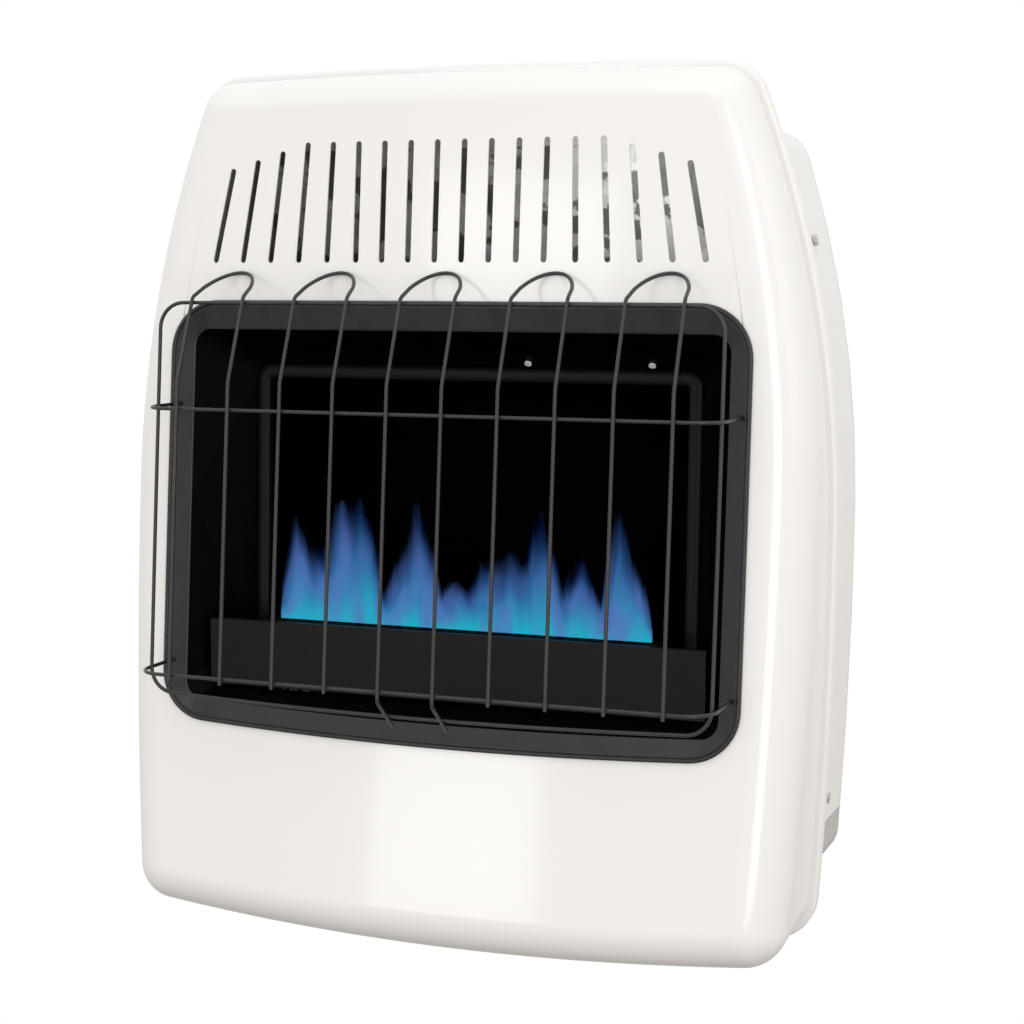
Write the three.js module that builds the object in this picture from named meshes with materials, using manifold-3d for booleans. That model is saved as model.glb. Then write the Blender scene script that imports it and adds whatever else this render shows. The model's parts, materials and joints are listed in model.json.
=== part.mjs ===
// Wall mounted gas heater: a bowed white casing on a rear chassis, a black bezel round a flared
// firebox, a blue flame burner behind a lower panel, a wire guard, and controls on the top deck.
// Millimetres, X across, +Y toward the wall, +Z up. The origin is on the back panel's rear face,
// on the centre line, level with the widest part of the casing.

import * as THREE from 'three';
import { mergeVertices } from 'three/addons/utils/BufferGeometryUtils.js';
import Module from 'manifold-3d';

const wasm = await Module();
wasm.setup();

// ---------- driving sizes ----------

const GAP = 0.3; // clearance where two pieces touch
const FACE_Y = -179.55; // casing's face on the centre line at the origin's height
const FACE_LEAN = 0.09; // the face leans back toward the wall as it rises
const FACE_BOW = 1.1e-4; // and bows back toward both sides

const CASING = {
  half: 288, upperR: 900, lowerR: 4200, top: 338, topR: 8000, topCorner: 28,
  bottom: -345, bottomR: 2850, bottomCorner: 38,
};
const CASING_WALL = 1.5;
const EDGE_R = 36; // roundover from the casing's side to its face
const EDGE_TAPER = 0.03; // the roundover tightens toward the top
const RIM_STEP = 6.5; // rolled rim stands out from the casing's side
const RIM_Y = -100;
const RIM_DEPTH = 10;
const RIM_LEAN = 0.03; // above the origin the rim comes forward

const SLOT_PAIRS = 9;
const SLOT_WIDTH = 5;
const SLOT_FIRST_X = 11.25;
const SLOT_PITCH = 22.5;
const SLOT_FANNED_PITCH = 25.3; // pitch of the lower ends once the slots fan out
const SLOT_STRAIGHT = 3;
const SLOT_LEVEL_TOPS = 6;
const SLOT_TOP_DROP = 6.5;
const SLOT_TOP = CASING.top - 54;

const STRAIGHT = 60000; // radius of a side that only just bows
const BEZEL = {
  half: CASING.half - 44, upperR: STRAIGHT, lowerR: STRAIGHT, top: CASING.top - 178.5,
  topR: STRAIGHT, topCorner: 42, bottom: CASING.bottom + 158.5, bottomR: 4444, bottomCorner: 40,
};
const SLOT_BOTTOM = BEZEL.top + 29.5;
const BEZEL_LAP = 4.5; // how far the bezel's bead lies over the edge of the casing's window
const BEAD_HEIGHT = 3.2;
const BEAD_WIDTH = 3.4;
const FLANGE_START = 4.6;
const FLANGE_THICK = 1.2;
const FLANGE_SINK = 5.4; // the flange's inner edge lies behind the face
const FLANGE_CLEAR = 1.4; // the flange's back starts clear of the casing's window

const MOUTH = {
  half: BEZEL.half - 18.5, upperR: STRAIGHT, lowerR: STRAIGHT, top: BEZEL.top - 23.5,
  topR: STRAIGHT, topCorner: 14, bottom: BEZEL.bottom + 17, bottomR: 5000, bottomCorner: 14,
};
const FIREBOX = {
  half: MOUTH.half - 33, upperR: STRAIGHT, lowerR: STRAIGHT, top: MOUTH.top - 29.5,
  topR: STRAIGHT, topCorner: 14, bottom: MOUTH.bottom + 29.5, bottomR: STRAIGHT, bottomCorner: 14,
};
const INNER_Y = -115;
const INNER_LEAN = 0.04;
const INNER_BAND = 11.8; // width of the inner frame's rolled border
const INNER_BACK = 3;
const SHEET = 1.2;
const FLARE_SHEET = 1;
const FLARE_FRONT = 7.1; // flare's front edge behind the face, clear of the bezel's flange

const CHASSIS = {
  half: CASING.half, upperR: CASING.upperR, lowerR: CASING.lowerR, top: CASING.top - 44,
  topR: 1e6, topCorner: 30, bottom: CASING.bottom + 45, bottomR: 8000, bottomCorner: 24,
};
const CHASSIS_END = CHASSIS.bottom + 46; // the white sides stop here
const CHASSIS_FLANGE = 14;
const TRAY_FRONT = -80;
const TRAY_LAP = 0.6; // gap between the white sides and the tray under them
const BACK_FRONT = -SHEET; // front face of the back panel
const REACH = 2 * CASING.half; // past the whole heater, for trimming

const KEYHOLE = { x: CHASSIS.half - 88, z: CHASSIS.top - 79, r: 6, throat: 6, rise: 14 };
const FOOT_SLOT = { inner: KEYHOLE.x - 10, outer: KEYHOLE.x + 6, z: CHASSIS.bottom + 38, width: 6 };
const VENT = { count: 9, first: 83 - CHASSIS.half, pitch: 30, front: -80, back: -25, width: 6 };
const INTAKE = { count: 6, first: VENT.first, pitch: 66, length: 40, y: -46, width: 9 };
const DEFLECTOR = { half: FIREBOX.half + 2.5, sheet: 0.9, back: -40, front: -94, lip: 12, rise: 14 };

const PANEL = {
  half: MOUTH.half - 14.5, top: FIREBOX.bottom + 38.5, bottom: MOUTH.bottom + 14.2, front: -166.7, lip: 7,
};

const BURNER = {
  half: FIREBOX.half - 24.5, y: -138, depth: 24, top: FIREBOX.bottom + 37, height: 22, wall: 1.2,
};
const PORTS = 28;
const PORT_PITCH = (2 * BURNER.half - 11.2) / PORTS;
const PORT = { length: 7, width: 12 };
const MIXER_X = BURNER.half - 48;
const MIXER_R = 9;
const MIXER_END = BURNER.top - 93;
const INJECTOR_LENGTH = 17;

const FLAME = { half: BURNER.half - 8, base: 14, depth: 4, reach: 21, steps: 80 };
const TONGUES = [[-141.5, 73], [-104, 95], [-87.5, 101], [-35, 93], [-5, 40], [25, 44],
  [52.5, 66], [71.5, 91], [102, 62], [136, 103]]; // place across and height of each tongue

const BRACKET_X = BURNER.half + GAP;
const BRACKET_BACK = -124.5;

const PILOT_X = 34 - BURNER.half;
const PILOT_Y = -158;

const WIRE_R = 1.5;
const WIRE_SIDES = 8;
const GUARD_Y = -236.75; // plane of the guard's upright wires at the origin's height
const GUARD_LEAN = 0.0901;
const HAIRPINS = 5;
const HAIRPIN_PITCH = 90;
const HAIRPIN_WIDTH = 45;
const RING = {
  half: BEZEL.half - 11.5, upperR: STRAIGHT, lowerR: STRAIGHT, top: BEZEL.top - 1.5,
  topR: STRAIGHT, topCorner: 20, bottom: BEZEL.bottom + 29.5, bottomR: 5000, bottomCorner: 20,
};
const KINK_Z = RING.top - 61;
const CREST_Z = RING.top + 23;
const CROSS_Z = RING.top + 4.3;
const RING_Y = -213.3;
const RING_LEAN = 0.0885;
const CROSSING = 2 * WIRE_R + 0.25; // centre to centre where two wires cross
const RAIL_UPPER_Z = FIREBOX.top - 31.5;
const RAIL_LOWER_Z = FIREBOX.bottom + 5.7;
const RAIL_BEND = 22;
const FOOT_Z = BEZEL.bottom + 13.2;
const FOOT_END = -190;

const KNOB_X = CHASSIS.half - 118;
const CONTROL_Y = -48;
const IGNITER_X = KNOB_X - 60;
const DECK_Z = CHASSIS.top;
const VALVE = { half: 25, front: -72, back: -24, bottom: DECK_Z - 69, top: DECK_Z - 14, stub: 6 };
const STEM_R = 4;
const STEM_HOLE_R = 12;
const STEM_TOP = DECK_Z + 18;
const COLLAR = { bottom: DECK_Z - 9.4, top: DECK_Z - 2, rim: 9, neck: 6.5 };
const KNOB_R = 20;
const KNOB_BOTTOM = DECK_Z + 5.3;
const KNOB_HEIGHT = 21;
const BUTTON_WELL = 6; // radius of the well that the igniter's button slides in
const IGNITER_R = 9;
const IGNITER_TAIL = DECK_Z - 54;

const GAS_X = CHASSIS.half - 48;
const GAS_Y = -42;
const REGULATOR = { z: CHASSIS.bottom + 110, r: 28, front: -60, back: -25, stub: 6, union: 7 };
const INLET = { end: CHASSIS.bottom - 22, nut: CHASSIS.bottom + 8, r: 8, bore: 6 };
const SUPPLY_Z = VALVE.top - 20;
const MANIFOLD = { x: FIREBOX.half + 12.5, y: -60, low: MIXER_END - 42, high: VALVE.top - 40 };
const LINES_X = FIREBOX.half + 5; // small lines climb between the firebox and the manifold tube
const LEAD = { y: -16, low: MIXER_END - 16, high: FIREBOX.top + 53.5 };
const PILOT_LINE = { y: -30, low: MIXER_END - 9, high: FIREBOX.top + 39.5 };
const SPARK_LINE = { y: -44, low: MIXER_END - 2, high: FIREBOX.top + 69.5 };

// ---------- surfaces ----------

const face = (x, z) => FACE_Y + FACE_LEAN * z + FACE_BOW * x * x;
const rim = (x, z) => RIM_Y - RIM_LEAN * Math.max(z, 0);
const innerFace = (x, z) => INNER_Y + INNER_LEAN * z;
const edgeRadius = (z) => EDGE_R - EDGE_TAPER * Math.max(z, 0);
const guardY = (z) => GUARD_Y + GUARD_LEAN * z;
const ringY = (z) => RING_Y + RING_LEAN * z;
const floorOf = (form, x) => form.bottom + form.bottomR - Math.sqrt(form.bottomR ** 2 - x * x);

// ---------- outlines ----------

const FINE = { top: 4, corner: 6, upper: 5, lower: 3, bottom: 4 };
const PLAIN = { top: 3, corner: 4, upper: 1, lower: 1, bottom: 3 };

// Centre of the fillet that touches two large arcs from inside, on the right-hand side.
function filletCentre(a, b, radius) {
  const ra = a.r - radius;
  const rb = b.r - radius;
  const dx = b.x - a.x;
  const dz = b.z - a.z;
  const apart = Math.hypot(dx, dz);
  const along = (ra * ra - rb * rb + apart * apart) / (2 * apart);
  const across = Math.sqrt(ra * ra - along * along);
  return {
    x: a.x + (along * dx + across * dz) / apart,
    z: a.z + (along * dz - across * dx) / apart,
    r: radius,
  };
}

function arcPoints(centre, from, to, steps) {
  const points = [];
  for (let i = 0; i < steps; i++) {
    const angle = from + ((to - from) * i) / steps;
    points.push([centre.x + centre.r * Math.cos(angle), centre.z + centre.r * Math.sin(angle)]);
  }
  return points;
}

// Closed outline in X and Z: four large arcs and four fillets, each moved in by the inset.
// It runs clockwise from the middle of the top, with the left half mirrored from the right.
function outline(form, inset = 0, counts = FINE) {
  const top = { x: 0, z: form.top - form.topR, r: form.topR - inset };
  const upper = { x: form.half - form.upperR, z: 0, r: form.upperR - inset };
  const lower = { x: form.half - form.lowerR, z: 0, r: form.lowerR - inset };
  const bottom = { x: 0, z: form.bottom + form.bottomR, r: form.bottomR - inset };
  const high = filletCentre(top, upper, Math.max(form.topCorner - inset, 3));
  const low = filletCentre(lower, bottom, Math.max(form.bottomCorner - inset, 3));
  const angle = (from, to) => Math.atan2(to.z - from.z, to.x - from.x);
  const half = [
    ...arcPoints(top, Math.PI / 2, angle(top, high), counts.top),
    ...arcPoints(high, angle(top, high), angle(upper, high), counts.corner),
    ...arcPoints(upper, angle(upper, high), 0, counts.upper),
    ...arcPoints(lower, 0, angle(lower, low), counts.lower),
    ...arcPoints(low, angle(lower, low), angle(bottom, low), counts.corner),
    ...arcPoints(bottom, angle(bottom, low), -Math.PI / 2, counts.bottom),
  ];
  const mirrored = half.slice(1).reverse().map(([x, z]) => [-x, z]);
  return [...half, [0, form.bottom + inset], ...mirrored];
}

// Ring part of the way from one outline to another of equal count. The share of the way and the
// depth are worked out point by point, from the outer outline's height and the point's own place.
function ringBetween(outer, inner, shareOf, yOf) {
  return outer.map(([x, z], i) => {
    const share = shareOf(z);
    const px = x + (inner[i][0] - x) * share;
    const pz = z + (inner[i][1] - z) * share;
    return [px, yOf(px, pz, z), pz];
  });
}

const ringAt = (points, yOf) => points.map(([x, z]) => [x, yOf(x, z), z]);

// ---------- solids ----------

function fromArrays(position, index) {
  const geometry = new THREE.BufferGeometry();
  geometry.setAttribute('position', new THREE.Float32BufferAttribute(position, 3));
  geometry.setIndex(index);
  return geometry;
}

// Turns a closed surface's faces outward.
function outward(geometry) {
  const index = Array.from(geometry.index.array);
  if (volumeOf(geometry.attributes.position.array, index) < 0) {
    geometry.setIndex(index.reverse());
  }
  return geometry;
}

function volumeOf(position, index) {
  let six = 0;
  const corner = (i) => new THREE.Vector3().fromArray(position, 3 * index[i]);
  for (let i = 0; i < index.length; i += 3) {
    six += corner(i).dot(corner(i + 1).cross(corner(i + 2)));
  }
  return six;
}

// Closed skin through rings of equal count, split along each patch's shorter diagonal.
// Uncapped, the last ring joins the first.
function loft(rings, capped = false) {
  const count = rings[0].length;
  const rows = capped ? rings.length - 1 : rings.length;
  const points = rings.flat();
  const index = [];
  const apart = (a, b) => Math.hypot(...points[a].map((value, axis) => value - points[b][axis]));
  for (let i = 0; i < rows; i++) {
    const here = i * count;
    const next = ((i + 1) % rings.length) * count;
    for (let j = 0; j < count; j++) {
      const k = (j + 1) % count;
      if (apart(here + j, next + k) < apart(here + k, next + j)) {
        index.push(here + j, here + k, next + k, here + j, next + k, next + j);
      } else {
        index.push(here + j, here + k, next + j, here + k, next + k, next + j);
      }
    }
  }
  if (capped) {
    index.push(...capOf(rings[0], 0, false));
    index.push(...capOf(rings[rings.length - 1], (rings.length - 1) * count, true));
  }
  return outward(fromArrays(points.flat(), index));
}

// Triangles that close a ring, wound with the ring or against it.
function capOf(ring, offset, withRing) {
  const flat = ring.map(([x, , z]) => new THREE.Vector2(x, z));
  const ringSign = Math.sign(THREE.ShapeUtils.area(flat));
  return THREE.ShapeUtils.triangulateShape(flat, []).flatMap(([a, b, c]) => {
    const sign = Math.sign(THREE.ShapeUtils.area([flat[a], flat[b], flat[c]]));
    const keep = (sign === ringSign) === withRing;
    return keep ? [offset + a, offset + b, offset + c] : [offset + a, offset + c, offset + b];
  });
}

function toSolid(geometry) {
  const bare = geometry.clone();
  bare.deleteAttribute('normal');
  bare.deleteAttribute('uv');
  const welded = mergeVertices(bare, 1e-4);
  const { array } = welded.index;
  const triangles = [];
  for (let i = 0; i < array.length; i += 3) {
    const [a, b, c] = array.slice(i, i + 3);
    if (a !== b && b !== c && c !== a) {
      triangles.push(a, b, c);
    }
  }
  const mesh = new wasm.Mesh({
    numProp: 3,
    vertProperties: new Float32Array(welded.attributes.position.array),
    triVerts: new Uint32Array(triangles),
  });
  return new wasm.Manifold(mesh);
}

function toGeometry(solid) {
  const mesh = solid.getMesh();
  const geometry = fromArrays(Array.from(mesh.vertProperties), Array.from(mesh.triVerts));
  geometry.computeVertexNormals();
  return geometry;
}

const joined = (...pieces) => toGeometry(pieces.map(toSolid).reduce((a, b) => a.add(b)));

function cut(piece, tools) {
  const tool = tools.map(toSolid).reduce((a, b) => a.add(b));
  return toGeometry(toSolid(piece).subtract(tool));
}

const common = (a, b) => toGeometry(toSolid(a).intersect(toSolid(b)));
const welded = (piece) => toGeometry(toSolid(piece));

function box(x0, x1, y0, y1, z0, z1) {
  const geometry = new THREE.BoxGeometry(x1 - x0, y1 - y0, z1 - z0);
  return geometry.translate((x0 + x1) / 2, (y0 + y1) / 2, (z0 + z1) / 2);
}

const below = (z) => box(-REACH, REACH, -REACH, REACH, -REACH, z);
const above = (z) => box(-REACH, REACH, -REACH, REACH, z, REACH);

function rod(from, to, radius, sides = 16) {
  const a = new THREE.Vector3(...from);
  const b = new THREE.Vector3(...to);
  const geometry = new THREE.CylinderGeometry(radius, radius, a.distanceTo(b), sides);
  const turn = new THREE.Quaternion();
  turn.setFromUnitVectors(new THREE.Vector3(0, 1, 0), b.clone().sub(a).normalize());
  const middle = a.clone().add(b).multiplyScalar(0.5);
  return geometry.applyQuaternion(turn).translate(middle.x, middle.y, middle.z);
}

// Turned about a vertical axis at x, y from a closed profile of [radius, height].
function turned(profile, x, y, sides = 24) {
  const closed = profile.map(([r, z]) => new THREE.Vector2(r, z));
  const geometry = new THREE.LatheGeometry(closed, sides);
  return outward(geometry.rotateX(Math.PI / 2).translate(x, y, 0));
}

function extruded(points, depth) {
  const shape = new THREE.Shape(points.map(([a, b]) => new THREE.Vector2(a, b)));
  return new THREE.ExtrudeGeometry(shape, { depth, bevelEnabled: false });
}

// Profile in Y and Z, extruded along X.
function alongX(points, x0, x1) {
  const basis = new THREE.Matrix4();
  const across = new THREE.Vector3(1, 0, 0);
  basis.makeBasis(new THREE.Vector3(0, 1, 0), new THREE.Vector3(0, 0, 1), across);
  return extruded(points, x1 - x0).applyMatrix4(basis).translate(x0, 0, 0);
}

// Profile in X and Z, extruded along Y.
const alongY = (points, y0, y1) => extruded(points, y1 - y0).rotateX(Math.PI / 2).translate(0, y1, 0);

function circlePoints(x, y, radius, sides, turn = 0) {
  const points = [];
  for (let i = 0; i < sides; i++) {
    const angle = turn + (2 * Math.PI * i) / sides;
    points.push([x + radius * Math.cos(angle), y + radius * Math.sin(angle)]);
  }
  return points;
}

function stadium(a, b, width, steps = 4) {
  const along = Math.atan2(b[1] - a[1], b[0] - a[0]);
  const points = [];
  [b, a].forEach((centre, end) => {
    for (let i = 0; i <= steps; i++) {
      const angle = along - Math.PI / 2 + end * Math.PI + (Math.PI * i) / steps;
      points.push([centre[0] + (width / 2) * Math.cos(angle), centre[1] + (width / 2) * Math.sin(angle)]);
    }
  });
  return points;
}

// Bent strip of sheet: a path of [y, z] thickened to its left.
function strip(path, thickness) {
  const side = path.map((point, i) => {
    const before = path[Math.max(i - 1, 0)];
    const after = path[Math.min(i + 1, path.length - 1)];
    const first = new THREE.Vector2(point[0] - before[0], point[1] - before[1]);
    const second = new THREE.Vector2(after[0] - point[0], after[1] - point[1]);
    const a = (first.lengthSq() ? first : second).clone().normalize();
    const b = (second.lengthSq() ? second : first).clone().normalize();
    const normal = new THREE.Vector2(-a.y - b.y, a.x + b.x).normalize();
    const reach = thickness / normal.dot(new THREE.Vector2(-a.y, a.x));
    return [point[0] + normal.x * reach, point[1] + normal.y * reach];
  });
  return [...path, ...side.reverse()];
}

// ---------- wires and tubes ----------

// Curve that passes through its points one by one, for sweeps with no wasted sections.
class Route extends THREE.Curve {
  constructor(points) {
    super();
    this.points = points.map((p) => new THREE.Vector3(...p));
  }

  getPoint(t, target = new THREE.Vector3()) {
    const last = this.points.length - 1;
    const i = Math.min(Math.round(t * last), last);
    return target.copy(this.points[i]);
  }

  getPointAt(u, target) {
    return this.getPoint(u, target);
  }

  getTangent(t, target = new THREE.Vector3()) {
    const last = this.points.length - 1;
    const i = Math.min(Math.round(t * last), last);
    const before = this.points[Math.max(i - 1, 0)];
    const here = this.points[i];
    const after = this.points[Math.min(i + 1, last)];
    const a = here.clone().sub(before).normalize();
    const b = after.clone().sub(here).normalize();
    return target.copy(a.add(b)).normalize();
  }

  getTangentAt(u, target) {
    return this.getTangent(u, target);
  }
}

// Rounds each inner corner of a path with an arc of the radius.
function rounded(corners, radius, steps = 4) {
  const points = [corners[0]];
  for (let i = 1; i < corners.length - 1; i++) {
    const here = new THREE.Vector3(...corners[i]);
    const a = new THREE.Vector3(...corners[i - 1]).sub(here).normalize();
    const b = new THREE.Vector3(...corners[i + 1]).sub(here).normalize();
    const half = a.angleTo(b) / 2;
    const centre = a.clone().add(b).normalize().multiplyScalar(radius / Math.sin(half)).add(here);
    const start = a.clone().multiplyScalar(radius / Math.tan(half)).add(here).sub(centre);
    const end = b.clone().multiplyScalar(radius / Math.tan(half)).add(here).sub(centre);
    const sweep = start.angleTo(end);
    for (let k = 0; k <= steps; k++) {
      const t = k / steps;
      const p = start.clone().multiplyScalar(Math.sin((1 - t) * sweep) / Math.sin(sweep));
      p.add(end.clone().multiplyScalar(Math.sin(t * sweep) / Math.sin(sweep))).add(centre);
      points.push(p.toArray());
    }
  }
  points.push(corners[corners.length - 1]);
  return points;
}

function swept(points, radius, sides = WIRE_SIDES) {
  const section = circlePoints(0, 0, radius, sides).map(([x, y]) => new THREE.Vector2(x, y));
  const options = { steps: points.length - 1, bevelEnabled: false, extrudePath: new Route(points) };
  return new THREE.ExtrudeGeometry(new THREE.Shape(section), options);
}

const tube = (corners, radius, bend, sides = 6) => swept(rounded(corners, bend, 3), radius, sides);

// Closed loop of wire whose path lies close to one plane facing along Y.
function wireLoop(path, radius, sides) {
  const points = path.map((p) => new THREE.Vector3(...p));
  const count = points.length;
  const front = new THREE.Vector3(0, -1, RING_LEAN).normalize();
  const rings = points.map((point, i) => {
    const before = points[(i + count - 1) % count];
    const after = points[(i + 1) % count];
    const a = point.clone().sub(before).normalize();
    const b = after.clone().sub(point).normalize();
    const out = a.clone().add(b).normalize().cross(front).normalize();
    return circlePoints(0, 0, radius, sides).map(([u, v]) => {
      return point.clone().addScaledVector(out, u).addScaledVector(front, v).toArray();
    });
  });
  return loft(rings);
}

// ---------- materials ----------

function paint(colour, roughness, metalness) {
  return new THREE.MeshStandardMaterial({ color: colour, roughness, metalness });
}

const glossWhite = () => paint(0xf1f1ee, 0.22, 0);
const satinWhite = () => paint(0xe9e9e6, 0.4, 0);
const galvanised = () => paint(0x9b9d9c, 0.5, 0.8);
const greyBack = () => paint(0x6c6d70, 0.55, 0.4);
const satinBlack = () => paint(0x17171a, 0.35, 0.1);
const flareEnamel = () => paint(0x2a2220, 0.3, 0.2);
const frameSteel = () => paint(0x6e645c, 0.35, 0.6);
const panelSteel = () => paint(0x3a332e, 0.4, 0.4);
const sootBlack = () => paint(0x0d0d0f, 0.7, 0.1);
const burnerSteel = () => paint(0x77726c, 0.45, 0.8);
const brass = () => paint(0xb08d4a, 0.35, 0.9);
const copper = () => paint(0xb06a45, 0.4, 0.9);
const castAluminium = () => paint(0xa4a6a8, 0.5, 0.8);
const zincPlate = () => paint(0xbabbb8, 0.4, 0.85);
const guardWire = () => paint(0x101012, 0.3, 0.2);
const blackPlastic = () => paint(0x1b1b1c, 0.5, 0);
const redPlastic = () => paint(0xa3241d, 0.4, 0);
const ceramic = () => paint(0xe6e0d2, 0.5, 0);
const blueFlame = () => paint(0x4f86d8, 0.6, 0);

const heater = new THREE.Group();
heater.name = 'wall_mounted_gas_heater';

function add(name, geometry, material) {
  const mesh = new THREE.Mesh(geometry, material);
  mesh.name = name;
  heater.add(mesh);
}

// ---------- casing ----------

// Ring of the casing's skin: an inset from its outline and a depth behind the face or the rim.
function casingRings() {
  const outer = outline(CASING, 0);
  const full = outline(CASING, EDGE_R);
  const rings = [];
  const rimRing = (inset, back) => {
    rings.push(ringAt(outline(CASING, inset), (x, z) => rim(x, z) + back));
  };
  const edgeRing = (angle, wall) => {
    const sin = Math.sin(angle);
    const cos = Math.cos(angle);
    const share = (z) => (edgeRadius(z) - (edgeRadius(z) - wall) * cos) / EDGE_R;
    const depth = (x, y, z) => face(x, y) + edgeRadius(z) - (edgeRadius(z) - wall) * sin;
    rings.push(ringBetween(outer, full, share, depth));
  };
  const window = outline(BEZEL, BEZEL_LAP);
  rimRing(-RIM_STEP, RIM_DEPTH);
  rimRing(-RIM_STEP, 3);
  rimRing(-RIM_STEP + 0.9, 0.9);
  rimRing(-RIM_STEP + 3, 0);
  rimRing(0, 0.5);
  for (let i = 0; i <= 6; i++) {
    edgeRing((Math.PI / 2) * (i / 6), 0);
  }
  rings.push(ringAt(window, face));
  rings.push(ringAt(window, (x, z) => face(x, z) + CASING_WALL));
  for (let i = 4; i >= 0; i--) {
    edgeRing((Math.PI / 2) * (i / 4), CASING_WALL);
  }
  rimRing(CASING_WALL, CASING_WALL + 0.5);
  rimRing(-RIM_STEP + 3, CASING_WALL + 0.1);
  rimRing(-RIM_STEP + CASING_WALL, CASING_WALL + 2);
  rimRing(-RIM_STEP + CASING_WALL, RIM_DEPTH);
  return rings;
}

function slotCutters() {
  const cutters = [];
  for (let i = 0; i < SLOT_PAIRS; i++) {
    const fanned = Math.max(i - SLOT_STRAIGHT, 0);
    const straight = Math.min(i, SLOT_STRAIGHT);
    const topX = SLOT_FIRST_X + SLOT_PITCH * i;
    const bottomX = SLOT_FIRST_X + SLOT_PITCH * straight + SLOT_FANNED_PITCH * fanned;
    const drop = SLOT_TOP_DROP * Math.max(i - SLOT_LEVEL_TOPS + 1, 0);
    for (const side of [-1, 1]) {
      const low = [side * bottomX, SLOT_BOTTOM + SLOT_WIDTH / 2];
      const high = [side * topX, SLOT_TOP - drop - SLOT_WIDTH / 2];
      cutters.push(alongY(stadium(low, high, SLOT_WIDTH, 3), FACE_Y, FACE_Y + 45));
    }
  }
  return cutters;
}

function frontCasing() {
  add('front_casing', cut(loft(casingRings()), slotCutters()), glossWhite());
}

// ---------- chassis and back ----------

const seat = (x, z) => rim(x, z) + CASING_WALL + 0.5 + GAP;

const SCREW_R = 2;
const SCREW_Y = -60;
const FIREBOX_SCREWS = [MIXER_X - 69.2, MIXER_X + 33.1];
const FIREBOX_SCREW_Y = -119.5;
const SIDE_SCREWS = [
  { z: 206, radius: CHASSIS.upperR },
  { z: -233, radius: CHASSIS.lowerR },
];

function screwAxis(spot, side) {
  const lean = Math.asin(spot.z / spot.radius);
  const out = new THREE.Vector3(side * Math.cos(lean), 0, Math.sin(lean));
  const x = side * (CHASSIS.half - spot.radius + spot.radius * Math.cos(lean));
  return { skin: new THREE.Vector3(x, SCREW_Y, spot.z), out };
}

function screw(skin, out, shank, headR, headH) {
  const at = (d) => skin.clone().addScaledVector(out, d).toArray();
  const head = joined(
    rod(at(GAP), at(GAP + headH), headR, 12),
    rod(at(-shank), at(GAP + 0.1), SCREW_R, 6),
  );
  const up = new THREE.Vector3(0, 0, 1);
  const across = new THREE.Vector3().crossVectors(out, up);
  if (across.lengthSq() < 0.1) {
    across.set(1, 0, 0);
  }
  across.normalize();
  const beside = new THREE.Vector3().crossVectors(out, across);
  const frame = new THREE.Matrix4().makeBasis(across, beside, out);
  const top = skin.clone().addScaledVector(out, GAP + headH);
  const slot = new THREE.BoxGeometry(headR * 3, 0.9, 1.6).applyMatrix4(frame);
  return cut(head, [slot.translate(top.x, top.y, top.z)]);
}

const deckHole = (x, radius) => rod([x, CONTROL_Y, DECK_Z - 14], [x, CONTROL_Y, DECK_Z + 6], radius, 20);

function rearChassis() {
  const skin = outline(CHASSIS, 0);
  const inner = outline(CHASSIS, SHEET);
  const lip = outline(CHASSIS, CHASSIS_FLANGE);
  const back = () => BACK_FRONT - GAP;
  const seatBack = (x, z) => seat(x, z) + SHEET;
  const shell = loft([
    ringAt(skin, back), ringAt(skin, seat), ringAt(lip, seat),
    ringAt(lip, seatBack), ringAt(inner, seatBack), ringAt(inner, back),
  ]);
  const closing = outline(CASING, CASING_WALL + 1);
  const upstand = common(
    loft([ringAt(closing, seat), ringAt(closing, seatBack)], true),
    above(DECK_Z - CHASSIS_FLANGE + 2),
  );
  const tools = [below(CHASSIS_END)];
  for (let i = 0; i < VENT.count; i++) {
    const x = VENT.first + VENT.pitch * i;
    const vent = stadium([x, VENT.front], [x, VENT.back], VENT.width, 2);
    tools.push(extruded(vent, 30).translate(0, 0, DECK_Z - 20));
  }
  tools.push(deckHole(KNOB_X, STEM_HOLE_R), deckHole(IGNITER_X, IGNITER_R + GAP));
  for (const spot of SIDE_SCREWS) {
    for (const side of [-1, 1]) {
      const { skin: at, out } = screwAxis(spot, side);
      const inside = at.clone().addScaledVector(out, -8).toArray();
      const outside = at.clone().addScaledVector(out, 8).toArray();
      tools.push(rod(inside, outside, SCREW_R + GAP, 10));
    }
  }
  add('rear_chassis', cut(joined(shell, upstand), tools), satinWhite());
}

function sideScrews() {
  let number = 0;
  for (const spot of SIDE_SCREWS) {
    for (const side of [-1, 1]) {
      const { skin, out } = screwAxis(spot, side);
      number += 1;
      add(`side_screw_${number}`, screw(skin, out, 6, 4.5, 2.6), zincPlate());
    }
  }
}

function keyhole(x, z) {
  const throat = stadium([x, z], [x, z + KEYHOLE.rise], KEYHOLE.throat, 4);
  return [alongY(circlePoints(x, z, KEYHOLE.r, 12), -10, 10), alongY(throat, -10, 10)];
}

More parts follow.
